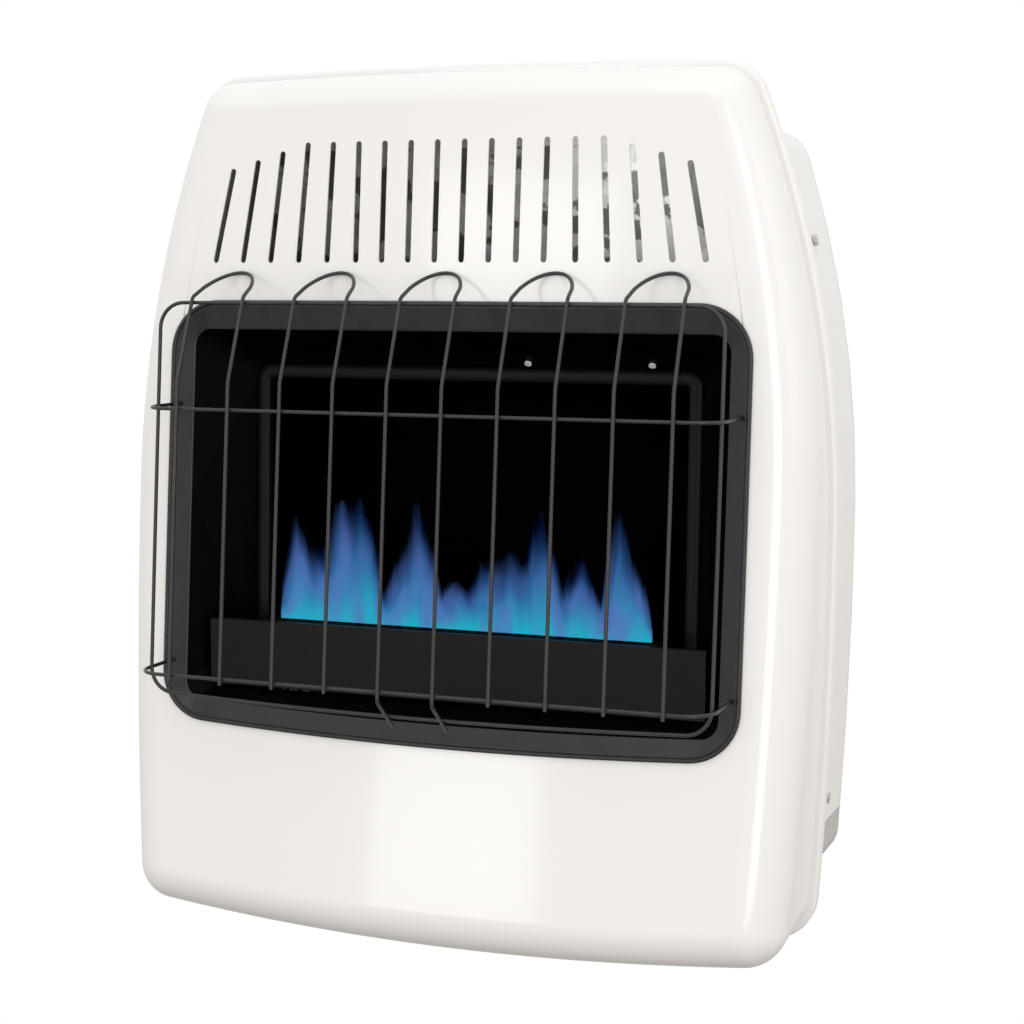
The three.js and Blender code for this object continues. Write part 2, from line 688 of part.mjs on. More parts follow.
function backPanel() {
  const skin = outline(CHASSIS, 0);
  const inner = outline(CHASSIS, SHEET);
  const plate = loft([ringAt(skin, () => 0), ringAt(skin, () => BACK_FRONT)], true);
  const overlap = () => BACK_FRONT / 2;
  const front = () => TRAY_FRONT;
  const wall = cut(
    loft([ringAt(skin, overlap), ringAt(skin, front), ringAt(inner, front), ringAt(inner, overlap)]),
    [above(CHASSIS_END - TRAY_LAP)],
  );
  const tools = [];
  for (const side of [-1, 1]) {
    const { inner: near, outer: far, z, width } = FOOT_SLOT;
    tools.push(...keyhole(side * KEYHOLE.x, KEYHOLE.z));
    tools.push(alongY(stadium([side * near, z], [side * far, z], width, 4), -10, 10));
  }
  for (let i = 0; i < INTAKE.count; i++) {
    const x = INTAKE.first + INTAKE.pitch * i;
    const slit = stadium([x, INTAKE.y], [x + INTAKE.length, INTAKE.y], INTAKE.width, 2);
    tools.push(extruded(slit, 20).translate(0, 0, CHASSIS.bottom - 12));
  }
  tools.push(rod([GAS_X, GAS_Y, INLET.end - 8], [GAS_X, GAS_Y, INLET.nut], INLET.r + 3, 20));
  add('back_panel', cut(joined(plate, wall), tools), greyBack());
}

function heatDeflector() {
  const { half, sheet: thick, back, front, lip, rise } = DEFLECTOR;
  const floor = FIREBOX.top + GAP * 2;
  const rear = BACK_FRONT - GAP - 1;
  const ceiling = DECK_Z - SHEET - GAP - thick;
  const path = [
    [front + lip, ceiling], [front, ceiling], [front, DECK_Z - 11], [back, floor], [rear, floor],
    [rear, floor + rise],
  ];
  const sheet = alongX(strip(path, thick), -half, half);
  add('heat_deflector', welded(sheet), galvanised());
}

// ---------- bezel, flare, firebox ----------

function bezelRings() {
  const outer = outline(BEZEL, 0);
  const mouth = outline(MOUTH, 0);
  const rings = [];
  const bead = (inset, back) => {
    rings.push(ringAt(outline(BEZEL, inset), (x, z) => face(x, z) + back));
  };
  const flange = (share, back) => {
    const start = outline(BEZEL, FLANGE_START);
    rings.push(ringBetween(start, mouth, () => share, (x, z) => face(x, z) + back));
  };
  bead(0, -GAP);
  bead(0, -BEAD_HEIGHT + 1);
  bead(0.8, -BEAD_HEIGHT);
  bead(BEAD_WIDTH - 1, -BEAD_HEIGHT);
  bead(BEAD_WIDTH, -BEAD_HEIGHT + 1.1);
  flange(0, -1.6);
  flange(1, FLANGE_SINK);
  flange(1, FLANGE_SINK + FLANGE_THICK);
  bead(FLANGE_START + FLANGE_CLEAR, -GAP);
  return rings;
}

const wireHole = (x, z) => rod([x, FACE_Y - 36, z], [x, FACE_Y + 40, z], WIRE_R + GAP, 10);

function bezelFrame() {
  const tools = [];
  for (const side of [-1, 1]) {
    for (const z of [RAIL_UPPER_Z, RAIL_LOWER_Z]) {
      const x = side * (RING.half + CROSSING);
      tools.push(wireHole(x, z));
    }
    tools.push(wireHole((side * HAIRPIN_WIDTH) / 2, FOOT_Z));
  }
  add('bezel_frame', cut(loft(bezelRings()), tools), satinBlack());
}

function fireboxFlare() {
  const mouth = outline(MOUTH, -1, PLAIN);
  const mouthOut = outline(MOUTH, -1 - FLARE_SHEET, PLAIN);
  const end = outline(FIREBOX, -GAP, PLAIN);
  const endOut = outline(FIREBOX, -GAP - FLARE_SHEET, PLAIN);
  const front = (x, z) => face(x, z) + FLARE_FRONT;
  const shell = loft([
    ringAt(mouth, front), ringAt(end, (x, z) => innerFace(x, z) - 2),
    ringAt(end, (x, z) => innerFace(x, z) + INNER_BACK),
    ringAt(endOut, (x, z) => innerFace(x, z) + INNER_BACK),
    ringAt(endOut, (x, z) => innerFace(x, z) - 2), ringAt(mouthOut, front),
  ]);
  const floor = MOUTH.bottom - 20;
  const tools = [rod([MIXER_X, BURNER.y, floor], [MIXER_X, BURNER.y, floor + 60], MIXER_R + 5, 20)];
  const lines = stadium([PILOT_X - 13, PILOT_Y], [PILOT_X + 13, PILOT_Y], 8, 4);
  tools.push(extruded(lines, 60).translate(0, 0, floor));
  for (const x of FIREBOX_SCREWS) {
    const { skin, out } = flareScrewAxis(x);
    const at = (d) => skin.clone().addScaledVector(out, d).toArray();
    tools.push(rod(at(-8), at(8), SCREW_R + GAP, 10));
  }
  add('firebox_flare', cut(shell, tools), flareEnamel());
}

// Rolled sheet border round the firebox opening, open at the back.
function innerFrame() {
  const rings = [];
  const ring = (inset, back) => {
    rings.push(ringAt(outline(FIREBOX, inset, PLAIN), (x, z) => innerFace(x, z) + back));
  };
  const roll = (start, stop, wall, way) => {
    const half = (stop - start) / 2;
    for (let i = 0; i <= 3; i++) {
      const angle = Math.PI * (way > 0 ? i / 3 : 1 - i / 3);
      ring(start + half - half * Math.cos(angle), -1 - (3 - wall) * Math.sin(angle));
    }
  };
  ring(0, INNER_BACK);
  roll(0, INNER_BAND, 0, 1);
  ring(INNER_BAND, INNER_BACK);
  ring(INNER_BAND - SHEET, INNER_BACK);
  roll(SHEET, INNER_BAND - SHEET, 0.9, -1);
  ring(SHEET, INNER_BACK);
  add('inner_frame', welded(loft(rings)), frameSteel());
}

function combustionBox() {
  const skin = outline(FIREBOX, 0, PLAIN);
  const inner = outline(FIREBOX, SHEET, PLAIN);
  const front = (x, z) => innerFace(x, z) + INNER_BACK + GAP;
  const back = BACK_FRONT - GAP;
  const shell = loft([
    ringAt(inner, () => back - SHEET), ringAt(inner, front),
    ringAt(skin, front), ringAt(skin, () => back),
  ], true);
  add('combustion_box', welded(shell), sootBlack());
}

// Level of the flare's top wall at a depth, and the axis of a screw that stands square on it.
function flareTop(y) {
  const front = { y: face(0, MOUTH.top) + FLARE_FRONT, z: MOUTH.top + 1 };
  const rear = { y: innerFace(0, FIREBOX.top) - 2, z: FIREBOX.top + GAP };
  const slope = (rear.z - front.z) / (rear.y - front.y);
  return { z: front.z + slope * (y - front.y), slope };
}

function flareScrewAxis(x) {
  const { z, slope } = flareTop(FIREBOX_SCREW_Y);
  const out = new THREE.Vector3(0, slope, -1).normalize();
  return { skin: new THREE.Vector3(x, FIREBOX_SCREW_Y, z), out };
}

function fireboxScrews() {
  FIREBOX_SCREWS.forEach((x, i) => {
    const { skin, out } = flareScrewAxis(x);
    add(`firebox_screw_${i + 1}`, screw(skin, out, 4, 2.8, 1.8), zincPlate());
  });
}

function lowerPanel() {
  const { half, top, bottom, front, lip } = PANEL;
  const path = [[front + lip, top], [front + 1.5, top], [front, top - 1.5], [front, bottom]];
  add('lower_panel', welded(alongX(strip(path, SHEET), -half, half)), panelSteel());
}

// ---------- burner ----------

function burnerBody() {
  const { half, y, depth, top, height, wall } = BURNER;
  const trough = (inset) => [
    [y - depth / 2 + inset, top - height * 0.5], [y - depth / 4 + inset / 2, top - height + inset],
    [y + depth / 4 - inset / 2, top - height + inset], [y + depth / 2 - inset, top - height * 0.5],
    [y + depth / 2 - inset, top - 5], [y + depth / 2 - 4, top - inset],
    [y - depth / 2 + 4, top - inset], [y - depth / 2 + inset, top - 5],
  ];
  const body = alongX(trough(0), -half, half);
  const tools = [alongX(trough(wall), -half + wall, half - wall)];
  for (let i = 0; i < PORTS; i++) {
    const x = (i - (PORTS - 1) / 2) * PORT_PITCH;
    const halfLength = PORT.length / 2;
    tools.push(box(x - halfLength, x + halfLength, y - PORT.width / 2, y + PORT.width / 2, top - 3, top + 3));
  }
  tools.push(rod([MIXER_X, y, top - height - 5], [MIXER_X, y, top - height / 2], 8, 16));
  add('burner_body', cut(body, tools), burnerSteel());
}

function mixerTube() {
  const top = BURNER.top - BURNER.height - GAP;
  const profile = [
    [MIXER_R, top], [MIXER_R, top - 26], [MIXER_R + 3, MIXER_END + 12], [MIXER_R + 4.5, MIXER_END],
    [MIXER_R + 3.3, MIXER_END], [MIXER_R + 1.8, MIXER_END + 12], [MIXER_R - 1.2, top - 26],
    [MIXER_R - 1.2, top], [MIXER_R, top],
  ];
  add('burner_mixer_tube', welded(turned(profile, MIXER_X, BURNER.y, 20)), burnerSteel());
}

function injectorHolder() {
  const top = MIXER_END - GAP;
  const disc = rod([MIXER_X, BURNER.y, top - 2], [MIXER_X, BURNER.y, top], 14, 24);
  const hexagon = circlePoints(MIXER_X, BURNER.y, 6.5, 6);
  const body = extruded(hexagon, INJECTOR_LENGTH - 1).translate(0, 0, top - INJECTOR_LENGTH);
  const nozzle = rod([MIXER_X, BURNER.y, top - 4], [MIXER_X, BURNER.y, top + 9], 3.5, 12);
  const holes = [];
  for (const [x, y] of circlePoints(MIXER_X, BURNER.y, 10, 4, Math.PI / 4)) {
    holes.push(rod([x, y, top - 5], [x, y, top + 5], 2.4, 10));
  }
  holes.push(rod([MIXER_X, BURNER.y, top - 20], [MIXER_X, BURNER.y, top + 12], 0.9, 8));
  add('injector_holder', cut(joined(disc, body, nozzle), holes), brass());
}

// The flames' form: a thin curtain whose upper edge rises to a tip over each tongue.
function flameCurtain() {
  const { half, base, depth, reach, steps } = FLAME;
  const floor = BURNER.top + GAP;
  const edge = [[half, floor], [-half, floor]];
  for (let i = 0; i <= steps; i++) {
    const x = -half + (2 * half * i) / steps;
    const heights = TONGUES.map(([at, height]) => height * Math.max(0, 1 - Math.abs(x - at) / reach));
    edge.push([x, floor + Math.max(base, ...heights)]);
  }
  const curtain = alongY(edge, BURNER.y - depth / 2, BURNER.y + depth / 2);
  add('flame_curtain', welded(curtain), blueFlame());
}

// Level of the flare's floor under a point, and the plates that stand on it.
function flareFloor(x, y) {
  const front = { y: face(x, MOUTH.bottom) + FLARE_FRONT, z: floorOf(MOUTH, x) - 1 };
  const rear = { y: innerFace(x, FIREBOX.bottom) - 2, z: FIREBOX.bottom - GAP };
  return front.z + ((rear.z - front.z) * (y - front.y)) / (rear.y - front.y);
}

function burnerBracket(name, side) {
  const front = PANEL.front + SHEET + GAP;
  const lift = 2 * GAP;
  const profile = [
    [front, flareFloor(BRACKET_X, front) + lift],
    [BRACKET_BACK, flareFloor(BRACKET_X, BRACKET_BACK) + lift],
    [BRACKET_BACK, BURNER.top - 4], [BURNER.y, BURNER.top + 1], [front, BURNER.top - 4],
  ];
  const near = side * BRACKET_X;
  const far = side * (BRACKET_X + SHEET);
  add(name, welded(alongX(profile, Math.min(near, far), Math.max(near, far))), zincPlate());
}

// ---------- pilot ----------

const SHELF_Z = BURNER.top - 23;
const PILOT_FOOT = SHELF_Z - 14;
const PILOT_TOP = SHELF_Z + 19;
const INSULATOR_FOOT = SHELF_Z - 17;
const SHELF_HALF = 17;
const PILOT_SPREAD = 11;

function pilotBracket() {
  const front = PANEL.front + SHEET + GAP;
  const left = PILOT_X - SHELF_HALF;
  const right = PILOT_X + SHELF_HALF;
  const plate = box(left, right, front, front + SHEET, SHELF_Z - 22, SHELF_Z + 18);
  const shelf = box(left, right, front + SHEET / 2, PILOT_Y + 6, SHELF_Z - SHEET, SHELF_Z);
  const tools = [-PILOT_SPREAD, 0, PILOT_SPREAD].map((dx) => {
    return rod([PILOT_X + dx, PILOT_Y, SHELF_Z - 14], [PILOT_X + dx, PILOT_Y, SHELF_Z + 16], 3 + GAP, 12);
  });
  add('pilot_bracket', cut(joined(plate, shelf), tools), zincPlate());
}

const pilotRod = (x, from, to, radius, sides) => rod([x, PILOT_Y, from], [x, PILOT_Y, to], radius, sides);

function pilotBurner() {
  const x = PILOT_X;
  const body = pilotRod(x, PILOT_FOOT, PILOT_TOP - 5, 3, 12);
  const collar = pilotRod(x, SHELF_Z + GAP, SHELF_Z + 4, 4.4, 6);
  const hood = pilotRod(x, PILOT_TOP - 7, PILOT_TOP, 4, 12);
  const mouth = box(x - 1.5, x + 1.5, PILOT_Y, PILOT_Y + 8, PILOT_TOP - 4, PILOT_TOP + 2);
  add('pilot_burner', cut(joined(body, collar, hood), [mouth]), brass());
}

function igniterElectrode() {
  const x = PILOT_X + PILOT_SPREAD;
  const insulator = pilotRod(x, INSULATOR_FOOT, PILOT_TOP - 6, 3, 10);
  const collar = pilotRod(x, SHELF_Z + GAP, SHELF_Z + 3, 4, 10);
  const tip = pilotRod(x, PILOT_TOP - 8, PILOT_TOP + 1, 0.9, 6);
  const end = PILOT_TOP + 0.4;
  const point = rod([x + 0.7, PILOT_Y, end], [x - 5, PILOT_Y, end], 0.8, 6);
  add('igniter_electrode', joined(insulator, collar, tip, point), ceramic());
}

function thermocouple() {
  const x = PILOT_X - PILOT_SPREAD;
  const probe = pilotRod(x, SHELF_Z - 12, PILOT_TOP + 1, 2.6, 10);
  const collar = pilotRod(x, SHELF_Z + GAP, SHELF_Z + 5, 4, 6);
  const { y, low, high } = LEAD;
  const end = KNOB_X - 6;
  const lead = tube([
    [x, PILOT_Y, SHELF_Z - 10], [x, PILOT_Y, low], [LINES_X, PILOT_Y, low], [LINES_X, y, low],
    [LINES_X, y, high], [end, y, high], [end, y - 16, high + 8], [end, y - 16, VALVE.bottom - GAP],
  ], 1.5, 5);
  add('thermocouple', joined(probe, collar, lead), copper());
}

function pilotTube() {
  const { y, low, high } = PILOT_LINE;
  const end = KNOB_X + 12;
  const corners = [
    [PILOT_X, PILOT_Y, PILOT_FOOT - GAP], [PILOT_X, PILOT_Y, low], [LINES_X, PILOT_Y, low],
    [LINES_X, y, low], [LINES_X, y, high], [end, y, high], [end, y, VALVE.bottom - GAP],
  ];
  add('pilot_tube', welded(tube(corners, 2, 6)), castAluminium());
}

function igniterWire() {
  const x = PILOT_X + PILOT_SPREAD;
  const { y, low, high } = SPARK_LINE;
  const corners = [
    [x, PILOT_Y, INSULATOR_FOOT - GAP], [x, PILOT_Y, low], [LINES_X, PILOT_Y, low], [LINES_X, y, low],
    [LINES_X, y, high], [IGNITER_X, y, high], [IGNITER_X, y, IGNITER_TAIL - GAP],
  ];
  add('igniter_wire', welded(tube(corners, 1.5, 5)), redPlastic());
}

// ---------- gas train ----------

function gasValve() {
  const { half, front, back, bottom, top } = VALVE;
  const body = box(KNOB_X - half, KNOB_X + half, front, back, bottom, top - 8);
  const cap = rod([KNOB_X, CONTROL_Y, top - 10], [KNOB_X, CONTROL_Y, top], 16, 24);
  const union = rod([KNOB_X, CONTROL_Y, bottom - 0.1], [KNOB_X, CONTROL_Y, bottom + 5], 14, 24);
  const side = KNOB_X + half;
  const port = (y, z, r) => rod([side - 2, y, z], [side + VALVE.stub, y, z], r, 12);
  const bore = rod([KNOB_X, CONTROL_Y, top - 22], [KNOB_X, CONTROL_Y, top + 5], STEM_R + GAP, 16);
  const ports = [port(MANIFOLD.y, MANIFOLD.high, 7), port(GAS_Y, SUPPLY_Z, 7.5)];
  const solid = joined(body, cap, union, ...ports);
  add('gas_valve', cut(solid, [bore]), castAluminium());
}

function valveBracket() {
  const { front, back, top } = VALVE;
  const z = DECK_Z - SHEET - GAP;
  const path = [
    [front - GAP, DECK_Z - 44], [front - GAP, z - SHEET],
    [back + GAP, z - SHEET], [back + GAP, DECK_Z - 44],
  ];
  const sheet = alongX(strip(path, SHEET), KNOB_X - VALVE.half, KNOB_X + VALVE.half);
  const hole = rod([KNOB_X, CONTROL_Y, top], [KNOB_X, CONTROL_Y, DECK_Z + 6], STEM_HOLE_R, 20);
  add('valve_bracket', cut(sheet, [hole]), zincPlate());
}

// The collar slides with the stem but does not turn; the stem turns with the knob.
function stemCollar() {
  const inner = STEM_R + GAP;
  const { bottom, top, rim: edge, neck } = COLLAR;
  const profile = [
    [inner, bottom], [edge, bottom], [edge, bottom + 1.4], [neck, bottom + 2.4], [neck, top],
    [inner, top], [inner, bottom],
  ];
  add('stem_collar', welded(turned(profile, KNOB_X, CONTROL_Y, 20)), brass());
}

function valveStem() {
  const axis = (z) => [KNOB_X, CONTROL_Y, z];
  const stem = rod(axis(DECK_Z - 30), axis(STEM_TOP), STEM_R, 16);
  const shoulder = rod(axis(COLLAR.top + GAP), axis(COLLAR.top + 3), 6.2, 16);
  const flatY = CONTROL_Y + 2.6;
  const flat = box(KNOB_X - 6, KNOB_X + 6, flatY, flatY + 5.4, KNOB_BOTTOM + 0.7, STEM_TOP + 3);
  add('valve_stem', cut(joined(stem, shoulder), [flat]), brass());
}

function controlKnob() {
  const bottom = KNOB_BOTTOM;
  const top = bottom + KNOB_HEIGHT;
  const skirtTop = bottom + 8;
  const skirt = turned([
    [0, bottom + 2], [KNOB_R - 3, bottom + 2], [KNOB_R - 2.2, bottom], [KNOB_R, bottom],
    [KNOB_R, skirtTop - 2], [KNOB_R - 1.5, skirtTop], [0, skirtTop + 0.6],
  ], KNOB_X, CONTROL_Y, 24);
  const grip = alongX([
    [CONTROL_Y - 6, skirtTop - 3], [CONTROL_Y + 6, skirtTop - 3],
    [CONTROL_Y + 4.5, top - 1], [CONTROL_Y + 3.5, top], [CONTROL_Y - 3.5, top], [CONTROL_Y - 4.5, top - 1],
  ], KNOB_X - KNOB_R + 2.5, KNOB_X + KNOB_R - 2.5);
  const flutes = [];
  for (const [x, y] of circlePoints(KNOB_X, CONTROL_Y, KNOB_R + 1.4, 10)) {
    flutes.push(rod([x, y, bottom - 1], [x, y, skirtTop + 2], 2.4, 6));
  }
  const axis = (z) => [KNOB_X, CONTROL_Y, z];
  const bore = rod(axis(bottom - 5), axis(STEM_TOP + 0.6), STEM_R + GAP, 16);
  const body = cut(joined(skirt, grip), [bore, ...flutes]);
  const keyY = CONTROL_Y + 2.9;
  const key = box(KNOB_X - 5, KNOB_X + 5, keyY, keyY + 2.1, bottom + 3, STEM_TOP + 1.5);
  const tip = KNOB_X + KNOB_R - 2.5;
  const mark = box(KNOB_X + 6, tip, CONTROL_Y - 0.8, CONTROL_Y + 0.8, top - 1, top + 0.6);
  add('control_knob', joined(body, key, mark), blackPlastic());
}

function igniterBody() {
  const at = (z) => [IGNITER_X, CONTROL_Y, z];
  const shell = joined(
    rod(at(IGNITER_TAIL), at(IGNITER_TAIL + 4), 4, 12),
    rod(at(IGNITER_TAIL + 3), at(DECK_Z + 4.2), IGNITER_R, 20),
    rod(at(DECK_Z - SHEET - GAP - 4), at(DECK_Z - SHEET - GAP), IGNITER_R + 3, 20),
  );
  const well = rod(at(DECK_Z - 24), at(DECK_Z + 16), BUTTON_WELL, 16);
  add('igniter_body', cut(shell, [well]), blackPlastic());
}

function igniterNut() {
  const hexagon = circlePoints(IGNITER_X, CONTROL_Y, IGNITER_R + 3.5, 6);
  const ring = extruded(hexagon, 3.4).translate(0, 0, DECK_Z + GAP);
  add('igniter_nut', cut(ring, [deckHole(IGNITER_X, IGNITER_R + GAP)]), zincPlate());
}

function igniterButton() {
  const radius = BUTTON_WELL - GAP;
  const bottom = DECK_Z - 16;
  const profile = [
    [0, bottom], [radius, bottom], [radius, DECK_Z + 11], [radius - 1, DECK_Z + 12.4],
    [0, DECK_Z + 12.8],
  ];
  add('igniter_button', welded(turned(profile, IGNITER_X, CONTROL_Y, 20)), redPlastic());
}

function regulator() {
  const { z, r, front, back, stub, union } = REGULATOR;
  const body = rod([GAS_X, front, z], [GAS_X, back, z], r, 20);
  const dome = rod([GAS_X, front - 7, z], [GAS_X, front + 1, z], 15, 16);
  const lug = rod([GAS_X, back - 1, z], [GAS_X, BACK_FRONT - GAP, z], 13, 12);
  const inlet = rod([GAS_X, GAS_Y, z - r - union], [GAS_X, GAS_Y, z - r + 5], 9.5, 6);
  const outlet = rod([GAS_X, GAS_Y, z + r - 5], [GAS_X, GAS_Y, z + r + stub], 8, 6);
  add('regulator', joined(body, dome, lug, inlet, outlet), castAluminium());
}

function inletFitting() {
  const { end, nut: seatZ, r, bore: boreR } = INLET;
  const top = REGULATOR.z - REGULATOR.r - REGULATOR.union - GAP;
  const pipe = rod([GAS_X, GAS_Y, end], [GAS_X, GAS_Y, top], r, 20);
  const nut = extruded(circlePoints(GAS_X, GAS_Y, r + 4.5, 6), 12).translate(0, 0, seatZ);
  const bore = rod([GAS_X, GAS_Y, end - 8], [GAS_X, GAS_Y, top - 4], boreR, 16);
  add('inlet_fitting', cut(joined(pipe, nut), [bore]), brass());
}

function supplyTube() {
  const corners = [
    [GAS_X, GAS_Y, REGULATOR.z + REGULATOR.r + REGULATOR.stub + GAP], [GAS_X, GAS_Y, SUPPLY_Z],
    [KNOB_X + VALVE.half + VALVE.stub + GAP, GAS_Y, SUPPLY_Z],
  ];
  add('supply_tube', welded(tube(corners, 5, 22, 10)), castAluminium());
}

function manifoldTube() {
  const { x, y, low, high } = MANIFOLD;
  const corners = [
    [MIXER_X, BURNER.y, MIXER_END - INJECTOR_LENGTH - 2 * GAP], [MIXER_X, BURNER.y, low],
    [x, BURNER.y, low], [x, y, low], [x + 6, y, high - 40], [x + 10, y, high],
    [KNOB_X + VALVE.half + VALVE.stub + GAP, y, high],
  ];
  add('manifold_tube', welded(tube(corners, 4, 8, 10)), castAluminium());
}

// ---------- guard ----------

// Lower end of a hairpin's leg. The middle one's legs bend back and hook into the bezel.
function legStart(x, hooked) {
  if (!hooked) {
    const z = RAIL_LOWER_Z - WIRE_R - 2.5;
    return [[x, guardY(z), z]];
  }
  const knee = FOOT_Z + 32;
  return [
    [x, FOOT_END, FOOT_Z], [x, FOOT_END - 23, FOOT_Z], [x, FOOT_END - 36, FOOT_Z + 8.3],
    [x, guardY(knee), knee],
  ];
}

function hairpin(number) {
  const middle = (number - (HAIRPINS - 1) / 2) * HAIRPIN_PITCH;
  const half = HAIRPIN_WIDTH / 2;
  const crestY = face(middle, CREST_Z) - WIRE_R - GAP;
  const crossY = ringY(RING.top) - 2.1;
  const bow = [];
  for (let i = 1; i < 10; i++) {
    const angle = (Math.PI * i) / 10;
    const rise = Math.sin(angle);
    const y = crossY + (crestY - crossY) * rise;
    const z = CROSS_Z + (CREST_Z - CROSS_Z) * rise;
    bow.push([half * Math.cos(angle), y, z]);
  }
  const corners = [
    ...legStart(half, middle === 0), [half, guardY(KINK_Z), KINK_Z], [half, crossY, CROSS_Z], bow[0],
  ];
  const leg = rounded(corners, 7, 2).slice(0, -1);
  const other = leg.map(([x, y, z]) => [-x, y, z]).reverse();
  const path = [...leg, ...bow, ...other].map(([x, y, z]) => [x + middle, y, z]);
  add(`guard_hairpin_${number + 1}`, welded(swept(path, WIRE_R)), guardWire());
}

function guardRail(name, z) {
  const y = guardY(z) + CROSSING;
  const side = RING.half + CROSSING;
  const end = face(side, z) + 2.4;
  const corners = [[-side, end, z], [-side, y, z], [side, y, z], [side, end, z]];
  add(name, welded(swept(rounded(corners, RAIL_BEND, 6), WIRE_R)), guardWire());
}

function guardRing() {
  const path = ringAt(outline(RING, 0, { ...PLAIN, corner: 5 }), (x, z) => ringY(z));
  add('guard_ring', welded(wireLoop(path, WIRE_R, WIRE_SIDES)), guardWire());
}

// ---------- assembly ----------

frontCasing();
rearChassis();
backPanel();
sideScrews();
heatDeflector();
bezelFrame();
fireboxFlare();
innerFrame();
combustionBox();
fireboxScrews();
lowerPanel();
burnerBody();
flameCurtain();
mixerTube();
injectorHolder();
burnerBracket('burner_bracket_left', -1);
burnerBracket('burner_bracket_right', 1);
pilotBracket();
pilotBurner();
igniterElectrode();
thermocouple();
pilotTube();
igniterWire();
gasValve();
valveBracket();
stemCollar();
valveStem();
controlKnob();
igniterBody();
igniterNut();
igniterButton();
regulator();
inletFitting();
supplyTube();
manifoldTube();
guardRing();
guardRail('guard_rail_upper', RAIL_UPPER_Z);
guardRail('guard_rail_lower', RAIL_LOWER_Z);
for (let i = 0; i < HAIRPINS; i++) {
  hairpin(i);
}

export default heater;
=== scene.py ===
"""Looks of the wall mounted gas heater: smooth enamelled casing, black firebox, flames and stage.

Forms are drawn in millimetres with the solids' own values, and the meshes are scaled once, in
mesh_object and build_flames. Places of lamps and camera, and the settings, are in metres.
X runs across the heater, -Y out of the wall and +Z up.
"""

import json
import math

import bpy
import bmesh
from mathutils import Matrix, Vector, noise


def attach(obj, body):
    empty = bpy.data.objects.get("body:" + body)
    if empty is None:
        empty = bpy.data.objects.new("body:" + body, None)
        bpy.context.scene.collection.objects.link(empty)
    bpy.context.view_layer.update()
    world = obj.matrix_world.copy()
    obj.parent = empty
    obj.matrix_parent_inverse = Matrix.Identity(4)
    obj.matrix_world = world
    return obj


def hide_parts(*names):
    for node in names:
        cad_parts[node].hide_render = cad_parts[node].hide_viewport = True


bl_info = {
    "name": "Wall Gas Heater",
    "version": (1, 0, 0),
    "blender": (4, 5, 0),
    "location": "View3D > Sidebar > Heater",
    "description": "Builds the visual model of a wall mounted gas heater around its packed frame",
    "category": "Object",
}

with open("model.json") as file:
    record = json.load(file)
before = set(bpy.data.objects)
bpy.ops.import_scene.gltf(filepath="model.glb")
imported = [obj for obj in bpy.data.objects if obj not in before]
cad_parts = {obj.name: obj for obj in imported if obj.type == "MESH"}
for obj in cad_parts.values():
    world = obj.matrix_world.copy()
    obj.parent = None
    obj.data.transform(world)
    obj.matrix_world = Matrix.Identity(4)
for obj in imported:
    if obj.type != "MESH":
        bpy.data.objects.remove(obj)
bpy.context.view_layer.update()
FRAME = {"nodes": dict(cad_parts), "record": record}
BODY = "heater"
FINISHES = {}


# ---------- drawing, in millimetres, same values as the solids ----------

# Clearance of pieces that touch, and the casing's face: how it leans back and how it bows.
GAP = 0.3
LEAN = 0.09
BOW = 1.1e-4
NEAR_FACE = 0.02

# Outlines: half width, radii of the side above and below its widest place, height and radius of
# the top and the bottom arc, and the radii of the high and low corners.
STRAIGHT = 60000
RIM = dict(half=288, upper=900, lower=4200, top=338, top_r=8000, high=28,
           bottom=-345, bottom_r=2850, low=32)
# The casing's roundover hangs lower than its rim does.
CASING = dict(RIM, bottom=-351.2)
BEZEL = dict(half=244, upper=STRAIGHT, lower=STRAIGHT, top=159.5, top_r=STRAIGHT, high=42,
             bottom=-186.5, bottom_r=4444, low=40)
MOUTH = dict(half=225.5, upper=STRAIGHT, lower=STRAIGHT, top=136, top_r=STRAIGHT, high=14,
             bottom=-169.5, bottom_r=5000, low=14)
FIREBOX = dict(half=192.5, upper=STRAIGHT, lower=STRAIGHT, top=106.5, top_r=STRAIGHT, high=14,
               bottom=-140, bottom_r=STRAIGHT, low=14)
RING = dict(half=232.5, upper=STRAIGHT, lower=STRAIGHT, top=158, top_r=STRAIGHT, high=20,
            bottom=-157, bottom_r=5000, low=20)

# The casing's roundover, the width of its rolled lip, and its slots, counted from the middle.
EDGE = 36
LIP = 6.5
SLOTS = dict(a_side=9, first=11.25, pitch=22.5, fan_pitch=25.3, straight=3, full=5,
             low=191.5, high=281.5, drop=6.5, width=5)

# The guard's rails and hairpins; only the middle hairpin has a knee and a foot.
RAILS = dict(half=235.75, upper=75, lower=-134.3, bend=22, before_guard=3.25, entry=2.4, hole=2.1)
HAIRPIN = dict(count=5, pitch=90, half=22.5, crest=181, cross=162.3, shoulder=97, bend=7, past_rail=4,
               knee=-141.3, foot=(22.5, -221, -166))

# The fire: its box, its sheets (depth, height, shift aside), colours by height, and its edge.
FLAME_BASE = -102.7
FLAME_HALF = 160.0
FLAME_LIMIT = 102.6
FLAME_UNIT = 80
FLAME_SHEETS = ((-139.4, 0.88, -3), (-138, 1.0, 1), (-136.6, 1.06, 4))
FLAME_SPAN = 1.35
FLAME_COLOURS = [(0.40, (0.012, 0.46, 0.60, 1)), (0.62, (0.03, 0.30, 0.52, 1)),
                 (0.95, (0.03, 0.13, 0.34, 1)), (1.34, (0.001, 0.003, 0.10, 1))]
TIPS = [(-143, -25), (-130, -41), (-103, -6), (-88, 0), (-78, -18), (-47, -40), (-35.1, -5), (-27, -22),
        (-3.3, -64), (22, -52), (40, -42), (50, -40), (66, -20), (71.5, -6), (97, -48), (103, -37),
        (130, -24), (135, 0), (142, -34), (151, -52)]
